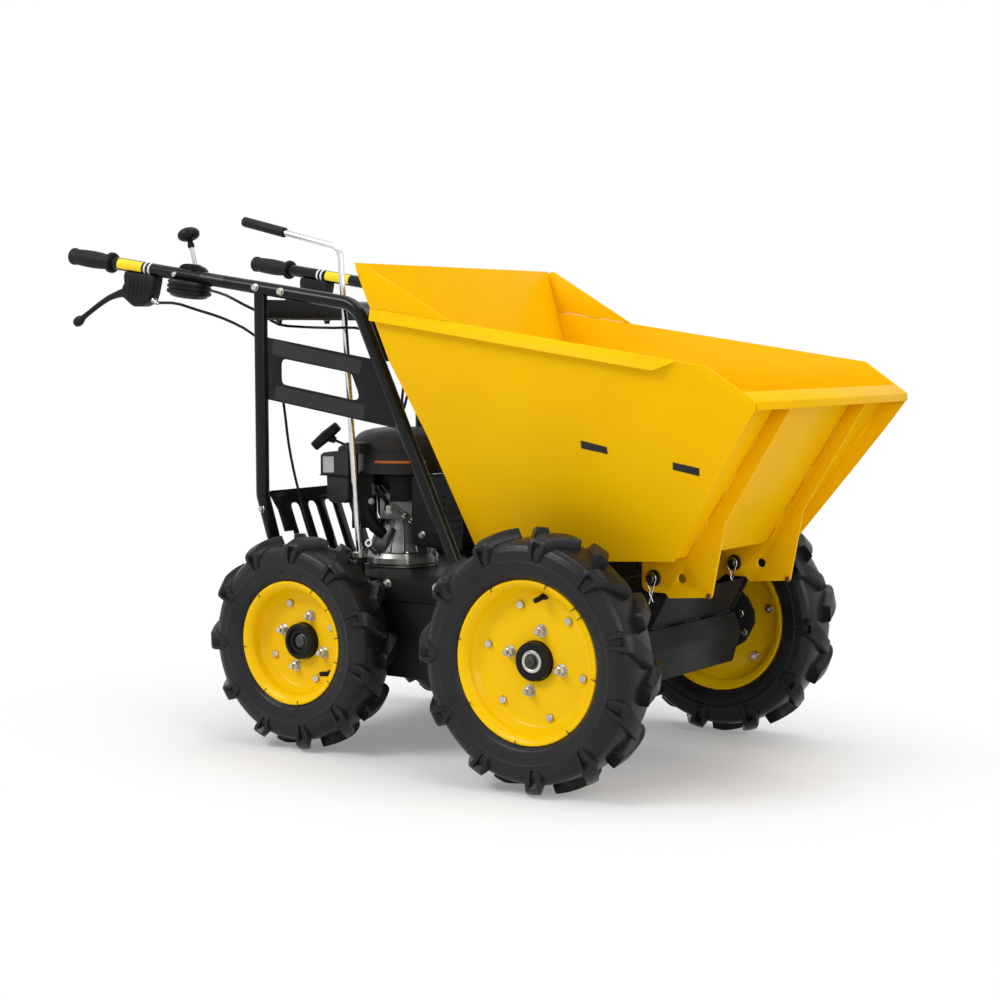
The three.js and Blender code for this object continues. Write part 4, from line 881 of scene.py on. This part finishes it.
def handles(side):
    name = SIDE_NAME[side]
    m = handle_place(side)
    for node in (f"frame_{name}", f"handle_{name}"):
        refined(node, mat_frame, 0.0)
    refined(f"side_plate_{name}", mat_frame, 0.0008)

    # grip
    grip = Maker()
    grip.lathe([(0, -482.8), (12, -482.8), (15.4, -482), (16.8, -480), (16.9, -475.5), (15.9, -472.6),
                (15.4, -471.2), (15.8, -462), (16.4, -447), (16.7, -431), (16.4, -415), (15.6, -402),
                (14.7, -393), (14.4, -387), (14.8, -384.5), (18.6, -383), (20.2, -381.2), (20.3, -376.5),
                (19.4, -374.2), (16.2, -373.2), (12.6, -373.2), (12.6, -476), (0, -476)],
               along_handle(m, 3.5), 48, closed=True)
    for k in range(22):
        a = 2 * math.pi * k / 22
        spine = [(-468, 15.3), (-458, 15.8), (-445, 16.25), (-431, 16.5), (-417, 16.2), (-404, 15.5),
                 (-395, 14.7)]
        rib = [m @ mm(x + 3.5, r * math.cos(a), r * math.sin(a)) for x, r in spine]
        grip.tube(rib, [0.2, 0.5, 0.6, 0.6, 0.6, 0.5, 0.2], 6)
    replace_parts(piece(grip, "fine_grip_" + name, mat_grip, angle=40), "grip_" + name)

    # bands and blank labels on the tube
    bands = Maker()
    for x0 in (-283, -272) if side == RIGHT else (-285.5, -274.5):
        x1 = x0 + 4.5
        bands.lathe([(12.2, x0), (12.65, x0), (12.65, x1), (12.2, x1)], along_handle(m), 40)
    piece(bands, "tube_bands_" + name, mat_band)
    labels = Maker()
    x0, x1 = (-351.5, -288.5) if side == RIGHT else (-260.5, -192.5)
    patch(labels, m, 12.45, x0, x1, 118, 218)
    piece(labels, "tube_label_" + name, mat_label)

    # bolts through the handle and the top tube
    zinc = Maker()
    outward = m.to_3x3() @ Vector((0, side, 0))
    for x in (-2.3, 57.9):
        bolt(zinc, m @ mm(x, side * 12.6, 0.6), outward, 11, 5, washer=7.5, turn=0.4)
        bolt(zinc, m @ mm(x, -side * 12.6, 0.6), -outward, 11, 6, washer=7.5, turn=0.1, stud=3)
    bolt(zinc, m @ mm(-202, side * 12.3, -1.0), outward, 9, 4, turn=0.2)
    bolt(zinc, at(-674.5, side * 251.5, 443), (-0.35, side * 0.93, 0), 11, 5, washer=7, turn=0.7)

    # lever housing: a ribbed moulding under the tube with a cable adjuster at its lower front
    body = Maker()
    turn = m @ Matrix.Rotation(math.pi / 2, 4, "X")  # outline (x, z) with thickness along y
    outline = [(-328, -11), (-330, -20), (-327, -34), (-331, -43), (-331, -60), (-322, -64), (-303, -74),
               (-296, -76), (-279, -73.5), (-270, -69), (-258, -56), (-255, -46), (-252, -22), (-252, -11)]
    body.prism(outline, -14, 14, turn)
    obj = piece(body, "fine_lever_housing_" + name, mat_plastic_black, bevel_width=0.0024,
                segments=3)
    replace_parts(obj, "lever_housing_" + name)
    ribs = Maker()
    for k in range(6):
        x = -314 + k * 10.0
        for face in (-1, 1):
            foot = [m @ mm(x, face * 13.6, -20 - 0.6 * k), m @ mm(x + 3.0, face * 13.9, -38 - 0.5 * k),
                    m @ mm(x + 2.0, face * 13.6, -60 + 1.2 * (k if k < 3 else 5 - k))]
            ribs.tube(foot, [1.4, 1.9, 1.4], 8)
    ribs.box((-324, -13.5, -15.5), (-256, 13.5, -10.5), m)
    piece(ribs, "housing_ribs_" + name, mat_plastic_black, angle=50)
    way = (m @ mm(-243, 0, -62) - m @ mm(-260, 0, -55)).normalized()
    foot = m @ mm(-260, side * 4, -56)
    adjuster = facing(foot, way)
    zinc.lathe([(0, -2), (4.0, -2), (4.0, 4), (5.6, 4), (5.6, 8), (3.4, 8), (3.4, 12), (4.6, 12), (4.6, 16),
                (2.9, 16.5), (2.9, 19), (0, 19)], adjuster, 20)
    piece(zinc, "handle_bolts_" + name, mat_zinc)

    # hand lever: thick where it leaves the housing, thin along the fingers, with a ball on its end
    lever = Maker()
    line = [(-329.5, -51.5, 9.0), (-338, -54, 8.6), (-350, -58.5, 7.4), (-362, -63.5, 6.3), (-375, -70, 5.7),
            (-388, -78.5, 5.4), (-401, -88, 5.2), (-414, -98, 5.1), (-427, -108.5, 5.1), (-438, -117.5, 5.6),
            (-441.5, -120.3, 7.8), (-445, -123, 9.4), (-449, -126.3, 10.0), (-453, -129.6, 9.3),
            (-456, -132, 7.4), (-458, -133.6, 4.2)]
    lever.tube([m @ mm(x, 0, z) for x, z, _ in line], [r for _, _, r in line], 20)
    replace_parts(piece(lever, "fine_hand_lever_" + name, mat_plastic_black, angle=60),
                "hand_lever_" + name)

    # blank strips above and below the window of the side plate
    strips = Maker()
    f = frame_place(side)
    for corners in ([(30.5, 760.5), (233.5, 723.6), (229.5, 698.5), (27.1, 734.5)],
                    [(35.8, 675.5), (240, 642.6), (236.1, 616.8), (32.3, 650.6)]):
        strips.slab(corners, (1.4, 2.35), lambda x, y, z: f @ mm(x, side * y, z))
    piece(strips, "blank_strips_" + name, mat_decal, angle=35)


for side in (LEFT, RIGHT):
    handles(side)


def controls():
    m = handle_place(RIGHT)
    box = Maker()
    centre = m @ Matrix.Translation(mm(-172, 0, 0))
    box.lathe([(0, -41.8), (28, -41.8), (34, -40), (37.5, -36), (41.8, -34), (42.6, -32.5), (42.6, -29),
               (41.6, -27.8), (39.8, -27.4), (39.8, -25.2), (41.6, -24.8), (42.8, -23.6), (42.8, -20),
               (41.6, -18.8), (39.8, -18.4), (39.8, -16.2), (41.6, -15.8), (42.4, -14.6), (42.0, -12),
               (38.5, -9.2), (0, -9.2)], centre, 72)
    dome = Maker()
    rings = []
    for r, h in ((34, -9), (34, 8), (33.2, 12), (31, 15.4), (27, 18.6), (21, 21), (13, 22.4), (7, 23.0)):
        start = math.asin(min(1.0, 2.0 / r))
        steps = 40
        rings.append([centre @ mm(r * math.cos(a), r * math.sin(a), h)
                      for a in (start + (math.pi - 2 * start) * k / steps for k in range(steps + 1))])
    dome.rings(rings)
    dome.lathe([(4.5, 21.5), (12, 21.5), (12, 24.2), (10, 25.6), (5.0, 26.2), (4.5, 26.2)],
               centre @ Matrix.Translation(mm(1, 9, -3)), 32)
    obj = piece(dome, "control_dome", mat_plastic_black, angle=28)
    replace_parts(piece(box, "ribbed_control_box", mat_plastic_black, angle=40), "control_box")
    stem = Maker()
    lean = centre @ Matrix.Translation(mm(1, 9, 22)) @ Matrix.Rotation(-0.41, 4, "Y")
    stem.lathe([(0, -6), (4.2, -6), (4.2, 37), (0, 37)], lean, 24)
    piece(stem, "knob_stem", mat_zinc)
    knob = Maker()
    knob.lathe([(0, 27), (6.2, 27), (6.6, 28), (6.6, 34), (5.6, 35.5), (5.2, 39), (8, 41), (14, 42.6),
                (19, 46), (21.2, 50.4), (21.4, 54.5), (20, 58.6), (16.6, 62), (11.5, 64.8), (6, 66.2),
                (0, 66.8)], lean @ Matrix.Translation(mm(0, 0, 7)), 40)
    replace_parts(piece(knob, "turned_knob", mat_plastic_black, angle=50), "control_knob")
    tag = Maker()
    patch(tag, m, 12.45, -140, -82, 110, 175)
    piece(tag, "tube_tag", mat_decal)


controls()


def console():
    heads = Maker()
    for y in (-225, -85, 85, 225):
        bolt(heads, at(-652, y, 797.8), (0, 0, -1), 10, 5, washer=7, turn=0.3)
    for y in (-228, -120, 0, 120, 228):
        bolt(heads, at(-663.2, y, 817), (-1, 0, 0), 8, 3.4, turn=y)
    piece(heads, "console_screws", mat_steel)


console()

refined("gear_lever", mat_chrome, 0.0)
refined("gear_lever_sleeve", mat_grip, 0.0012)
for name in ("throttle_cable", "clutch_cable", "drive_cable"):
    refined(name, mat_sheath, 0.0)


def lever_foot():
    maker = Maker()
    m = facing(at(-524, -150, 330), (0, 0, 1))
    maker.lathe([(6.3, 22), (12.5, 22), (12.5, 30.5), (11.5, 31.8), (6.3, 31.8)], m, 28)
    bolt(maker, at(-524, -161.2, 343), (0, -1, 0), 9, 4, turn=0.2)
    piece(maker, "lever_collar", mat_zinc)


lever_foot()


# ---- engine
ENGINE_TURN = math.radians(34.4)  # the engine's own right and front, as one looks at its carburettor side
ENGINE = Matrix.Translation(at(-536, 0, 0)) @ Matrix.Rotation(ENGINE_TURN, 4, "Z")


def eng(right, front, z):
    """A point by the engine's right, front (towards its operator's side) and height, in millimetres."""
    return ENGINE @ mm(right, -front, z)


def round_engine(radius, degrees, z):
    """A point at a radius from the engine's axis, the angle growing from its front to its right."""
    a = math.radians(degrees)
    return eng(radius * math.sin(a), radius * math.cos(a), z)


def engine():
    cover = Maker()
    m = ENGINE
    cover.lathe([(0, 505.5), (84, 505.5), (86, 508), (86, 544), (95.6, 547.5), (96.4, 549), (96.4, 556),
                 (95.2, 562), (91, 571), (84, 579), (73, 585), (58, 589), (40, 591.2), (20, 591.9),
                 (0, 592)], m, 96)
    obj = piece(cover, "domed_cover", mat_plastic, angle=24)
    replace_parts(obj, "engine_cover")
    # the skirt's front panel, a little proud of the dome, with a plain orange line
    panel = Maker()
    edge = [(88, 505.2), (96.6, 505.2), (97.2, 506), (97.2, 545.6), (96.4, 547.4), (88, 547.4)]
    panel.rings([[round_engine(r, -46 + 150 * k / 48, z) for r, z in edge] for k in range(49)])
    for a in (-30, 30, 84):
        panel.tube([round_engine(93, a, 549), round_engine(84, a, 576)], [3.2, 2.0], 8)
    piece(panel, "cover_panel", mat_plastic, angle=24)
    line = Maker()
    for a0, a1, z0, z1 in ((-30, 16, 526.5, 531.5), (24, 30, 526.0, 531.0)):
        edge = ((96.9, z0), (97.45, z0), (97.45, z1), (96.9, z1))
        line.rings([[round_engine(r, a0 + (a1 - a0) * k / 8, z) for r, z in edge] for k in range(9)])
    piece(line, "cover_line", mat_orange, angle=24)

    # under the cover: a black shroud, then the cast crankcase on its flange
    shroud = Maker()
    shroud.lathe([(0, 470), (56, 470), (58, 472), (60, 506), (0, 506)], m, 48)
    shroud.box((-94, -62, 400), (-50, 20, 505), m)
    shroud.box((-20, -74, 452), (22, -40, 505), m)
    piece(shroud, "engine_shroud", mat_plastic_black, bevel_width=0.003, segments=2)
    case = Maker()
    case.lathe([(0, 352), (67, 352), (63, 360), (55, 380), (47.5, 404), (44, 416), (46, 420), (48, 426),
                (49, 470), (0, 470)], m, 64)
    for k in range(12):
        rib = ((66.5, 353), (60, 366), (52.6, 385), (47.4, 404), (44.6, 414))
        case.tube([round_engine(r, -115 + k * 24, z) for r, z in rib], [3.4, 2.8, 2.5, 2.3, 2.2], 8)
    case.box((-40, -60, 418), (52, 30, 470), m)
    # the slanting joint of the two halves, with its rim
    for lift, radius in ((0, 3.0), (8, 2.2)):
        case.tube([eng(-26, 57, 446 + lift), eng(-2, 61, 428 + lift), eng(26, 58, 408 + lift),
                   eng(34, 50, 402 + lift)], radius, 10)
    case.tube([eng(-26, 57, 452), eng(-22, 55, 458), eng(-12, 52, 462)], 4.0, 10)
    # a pipe stub, its curved neck, and a lug with an eye
    case.tube([eng(-34, 44, 356), eng(-33, 46, 372), eng(-28, 48, 388), eng(-20, 46, 402)],
              [15, 14.5, 14, 12], 24)
    case.tube([eng(-43, 52, 386), eng(-36, 56, 398), eng(-26, 56, 402), eng(-20, 54, 396),
               eng(-19, 52, 384)], 2.6, 10)
    case.tube([eng(-61, 50, 369), eng(-52, 52, 357), eng(-46, 50, 350)], [7.5, 6.5, 6], 14)
    obj = piece(case, "cast_crankcase", mat_cast, angle=32, bevel_width=0.0012, segments=2)
    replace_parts(obj, "engine_block")
    flange = Maker()
    flange.lathe([(0, 329.5), (69, 329.5), (70, 331), (70, 341), (67.5, 345), (64, 351), (60, 353.2),
                  (0, 353.2)], m, 80)
    for k in range(6):
        spot = round_engine(63, 60 * k + 12, 329.6)
        flange.lathe([(0, 0), (9, 0), (9, 18), (8, 20), (0, 20)], facing(spot, (0, 0, 1)), 20)
    piece(flange, "crankcase_flange", mat_cast_bright)
    base = Maker()
    base.lathe([(0, 322.4), (64, 322.4), (66, 324), (66, 326.4), (64.5, 327.4), (0, 327.4)], m, 80)
    base.lathe([(0, 327), (58, 327), (58, 330), (0, 330)], m, 60)
    piece(base, "engine_base_plate", mat_zinc)

    bolts = Maker()
    heads = [((-56, 62, 452), (-0.2, -1, 0.1)), ((-24, 64, 439), (0.1, -1, 0.25)), ((-23, 64, 431),
            (0.1, -1, 0.2)), ((8, 63, 424), (0.3, -1, 0.8)), ((20, 62, 414), (0.3, -1, 0.8))]
    for spot, way in heads:
        bolt(bolts, eng(*spot), ENGINE.to_3x3() @ Vector(way), 9, 5, washer=6.2, turn=spot[0], stud=2)
    for a in (12, 72, -48, 132):
        bolt(bolts, round_engine(63, a, 349.4), (0, 0, 1), 10, 5, turn=math.radians(a))
    bolt(bolts, at(-424, -84.2, 394), (0, -1, 0), 10, 5, washer=7.5, turn=0.5)
    bolt(bolts, at(-372, -84.2, 388), (0, -1, 0), 8, 4, washer=6, turn=0.2)
    eye = facing(eng(-62, 58, 371), ENGINE.to_3x3() @ Vector((-0.4, -1, 0.3)))
    bolts.lathe([(4.2, -1.2), (7.6, -1.2), (7.6, 1.2), (4.2, 1.2)], eye, 24)
    bolts.slab([(43, 487), (58, 487.5), (58, 483.5), (43, 483.5)], (66, 72), eng)
    piece(bolts, "engine_bolts", mat_zinc)

    # the black breather hose curves down in front of the crankcase
    hose = Maker()
    hose.tube([eng(-66, 44, 500), eng(-68, 48, 470), eng(-66, 52, 440), eng(-60, 55, 418), eng(-50, 58, 402),
               eng(-40, 58, 394), eng(-34, 56, 388)], [11.5, 12, 12, 12.5, 12, 11.5, 11], 28)
    hose.tube([eng(-46, 68, 470), eng(-34, 70, 462), eng(-26, 68, 450), eng(-28, 62, 436)], 4.2, 12)
    hose.tube([eng(-12, 62, 480), eng(-2, 66, 466), eng(4, 64, 452)], 3.4, 12)
    hose.tube([eng(-50, 66, 482), eng(-40, 68, 474), eng(-30, 66, 470), eng(-10, 66, 476), eng(6, 64, 486)],
              3.0, 12)
    piece(hose, "breather_hose", mat_plastic_black, angle=60)
    links = Maker()
    for a, b in (((-54, 70, 484), (-44, 71, 462)), ((-44, 71, 484), (-34, 72, 464)), ((-36, 70, 484),
            (-22, 71, 468))):
        links.tube([eng(*a), eng(*b)], 1.8, 8)
    links.slab([(-56, 486), (-50, 486), (-47, 466), (-53, 464)], (69, 71), eng)
    piece(links, "governor_links", mat_steel, angle=40)


mat_orange = paint("line_orange", (0.70, 0.19, 0.02), (0.5, 0.12, 0.01), (0.35, 0.45), peel=0.02)
mat_cast_bright = metal("cast_flange", (0.52, 0.52, 0.50), (0.24, 0.24, 0.23), (0.3, 0.5), grain=500.0,
                        depth=0.5, patches=14.0, metallic=0.9)
engine()


def guard_and_filter():
    refined("muffler_guard", mat_plastic_black, 0.004, 4)
    louvres = Maker()
    for row in range(6):
        z = 396 + row * 14
        edge = ((-83.6, z), (-87.2, z + 1.0), (-87.2, z + 2.6), (-83.6, z + 6.5))
        for ends in ((-400, -372), (-366, -338)):
            louvres.rings([[at(x, *point) for point in edge] for x in ends])
    piece(louvres, "guard_louvres", mat_plastic_black, angle=20)

    top = Maker()
    profile = [(-631.5, 503.2), (-631.5, 541), (-624, 546), (-600, 549), (-566, 551), (-562.5, 548),
               (-562.5, 503.2)]
    top.slab(profile, (-134, -101))
    top.slab([(-593, 545), (-593, 556), (-573, 566), (-538, 566), (-538, 545)], (-128, -60))
    obj = piece(top, "filter_lid", mat_plastic, bevel_width=0.005, segments=4)
    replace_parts(obj, "air_filter")
    bowl = Maker()
    bowl.slab([(-621, 503.4), (-619.5, 457), (-612, 450), (-573, 450), (-567, 457), (-567, 503.4)],
              (-130, -46))
    piece(bowl, "filter_bowl", mat_plastic, bevel_width=0.006, segments=4)
    seam = Maker()
    seam.slab([(-633, 501.4), (-633, 503.8), (-561, 503.8), (-561, 501.4)], (-134.5, -98))
    piece(seam, "filter_seam", mat_plastic_black, bevel_width=0.0008)
    plate = Maker()
    plate.slab([(-623.5, 507.5), (-623.5, 538), (-597.5, 539), (-597.5, 508.5)], (-134.6, -133.5))
    piece(plate, "filter_plate", mat_plate)


guard_and_filter()


def recoil():
    centre = at(-672.5, -66, 573)
    bar_way = Vector((41, 24, 41)).normalized()
    rope_way = Vector((23, 14, -12)).normalized()
    side_way = bar_way.cross(rope_way).normalized()
    rope_square = side_way.cross(bar_way).normalized()
    bar = Maker()
    rings = []
    for t, half, thick in ((-32, 7.8, 7.6), (-30, 9.6, 9.2), (-15, 10.4, 9.8), (0, 11.4, 10.4),
                           (15, 10.4, 9.8), (30, 9.6, 9.2), (32, 7.8, 7.6)):
        ring = []
        for k in range(24):
            a = 2 * math.pi * k / 24
            c, sine = math.cos(a), math.sin(a)
            power = 0.55
            u = math.copysign(abs(c) ** power, c) * half
            v = math.copysign(abs(sine) ** power, sine) * thick
            ring.append(centre + (bar_way * t + rope_square * u + side_way * v) * MM)
        rings.append(ring)
    bar.rings(rings)
    neck = [centre + rope_way * t * MM for t in (2, 12, 20, 21)]
    bar.tube(neck, [9.6, 8.0, 6.6, 4.0], 16)
    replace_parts(piece(bar, "moulded_starter_handle", mat_plastic_black, angle=38),
                "recoil_handle")
    cord = Maker()
    cord.tube([centre + rope_way * t * MM for t in (18, 40, 62, 84)], 2.6, 12)
    cord.lathe([(3.2, -6), (9, -6), (9, 0), (6.5, 4), (3.2, 4)],
               facing(centre + rope_way * 62 * MM, -rope_way), 24)
    piece(cord, "starter_cord", mat_cord, angle=50)


recoil()


# ---- studio
def seen_straight(tree):
    """1 for rays from the camera and for those that a shiny or clear surface sends on, else 0."""
    path = tree.nodes.new("ShaderNodeLightPath")
    total = path.outputs["Is Camera Ray"]
    for kind in ("Is Glossy Ray", "Is Transmission Ray"):
        add = tree.nodes.new("ShaderNodeMath")
        add.use_clamp = True
        tree.links.new(total, add.inputs[0])
        tree.links.new(path.outputs[kind], add.inputs[1])
        total = add.outputs[0]
    return total


def studio():
    scene = bpy.context.scene
    scene.view_settings.view_transform = "Standard"
    world = bpy.data.worlds.new("studio")
    scene.world = world
    world.use_nodes = True
    nodes, links = world.node_tree.nodes, world.node_tree.links
    background = nodes["Background"]
    background.inputs["Color"].default_value = (1.0, 1.0, 1.0, 1)
    background.inputs["Strength"].default_value = 0.50
    white = nodes.new("ShaderNodeBackground")
    white.inputs["Color"].default_value = (1, 1, 1, 1)
    white.inputs["Strength"].default_value = 1.0
    mix = nodes.new("ShaderNodeMixShader")
    links.new(seen_straight(world.node_tree), mix.inputs["Fac"])
    links.new(background.outputs["Background"], mix.inputs[1])
    links.new(white.outputs["Background"], mix.inputs[2])
    links.new(mix.outputs["Shader"], nodes["World Output"].inputs["Surface"])

    material, tree, shader = new_material("floor_white")
    shader.inputs["Base Color"].default_value = (0.80, 0.80, 0.80, 1)
    shader.inputs["Roughness"].default_value = 0.9
    shader.inputs["Specular IOR Level"].default_value = 0.1
    # the floor keeps the machine's shadow, lightened by about a fifth of painted white glow mixed in near the
    # machine, and turns into the white of the backdrop away from it
    vector = coords(tree, (0.55, 0.72, 1.0))
    distance = tree.nodes.new("ShaderNodeVectorMath")
    distance.operation = "LENGTH"
    tree.links.new(vector, distance.inputs[0])
    # 0.22 near the machine: a painted white glow that lightens the machine's shadow on the floor
    away = ramp(tree, distance.outputs["Value"], [(0.30, 0.22), (0.62, 1.0)])
    seen = tree.nodes.new("ShaderNodeMath")
    seen.operation = "MULTIPLY"
    tree.links.new(away, seen.inputs[0])
    tree.links.new(seen_straight(tree), seen.inputs[1])
    white = tree.nodes.new("ShaderNodeEmission")
    white.inputs["Strength"].default_value = 1.0
    blend = tree.nodes.new("ShaderNodeMixShader")
    tree.links.new(seen.outputs[0], blend.inputs[0])
    tree.links.new(shader.outputs[0], blend.inputs[1])
    tree.links.new(white.outputs[0], blend.inputs[2])
    tree.links.new(blend.outputs[0], tree.nodes["Material Output"].inputs["Surface"])
    floor = bpy.data.meshes.new("floor")
    floor.from_pydata([(-14, -14, 0), (14, -14, 0), (14, 14, 0), (-14, 14, 0)], [], [[0, 1, 2, 3]])
    obj = bpy.data.objects.new("floor", floor)
    bpy.context.scene.collection.objects.link(obj)
    obj.location.z = -0.0003
    floor.materials.append(material)

    def lamp(name, spot, aim, size, power):
        data = bpy.data.lights.new(name, "AREA")
        data.shape = "RECTANGLE"
        data.size, data.size_y = size
        data.energy = power
        lamp_obj = bpy.data.objects.new(name, data)
        bpy.context.scene.collection.objects.link(lamp_obj)
        lamp_obj.location = spot
        lamp_obj.rotation_euler = (Vector(aim) - Vector(spot)).to_track_quat("-Z", "Y").to_euler()

    lamp("key", (-1.6, -3.2, 3.4), (0, 0, 0.45), (2.2, 1.6), 112)
    lamp("top", (0.6, 0.6, 4.2), (0, 0, 0.4), (3.5, 3.0), 92)
    lamp("side", (3.6, -1.4, 1.8), (0.2, 0, 0.4), (1.6, 2.2), 40)


studio()
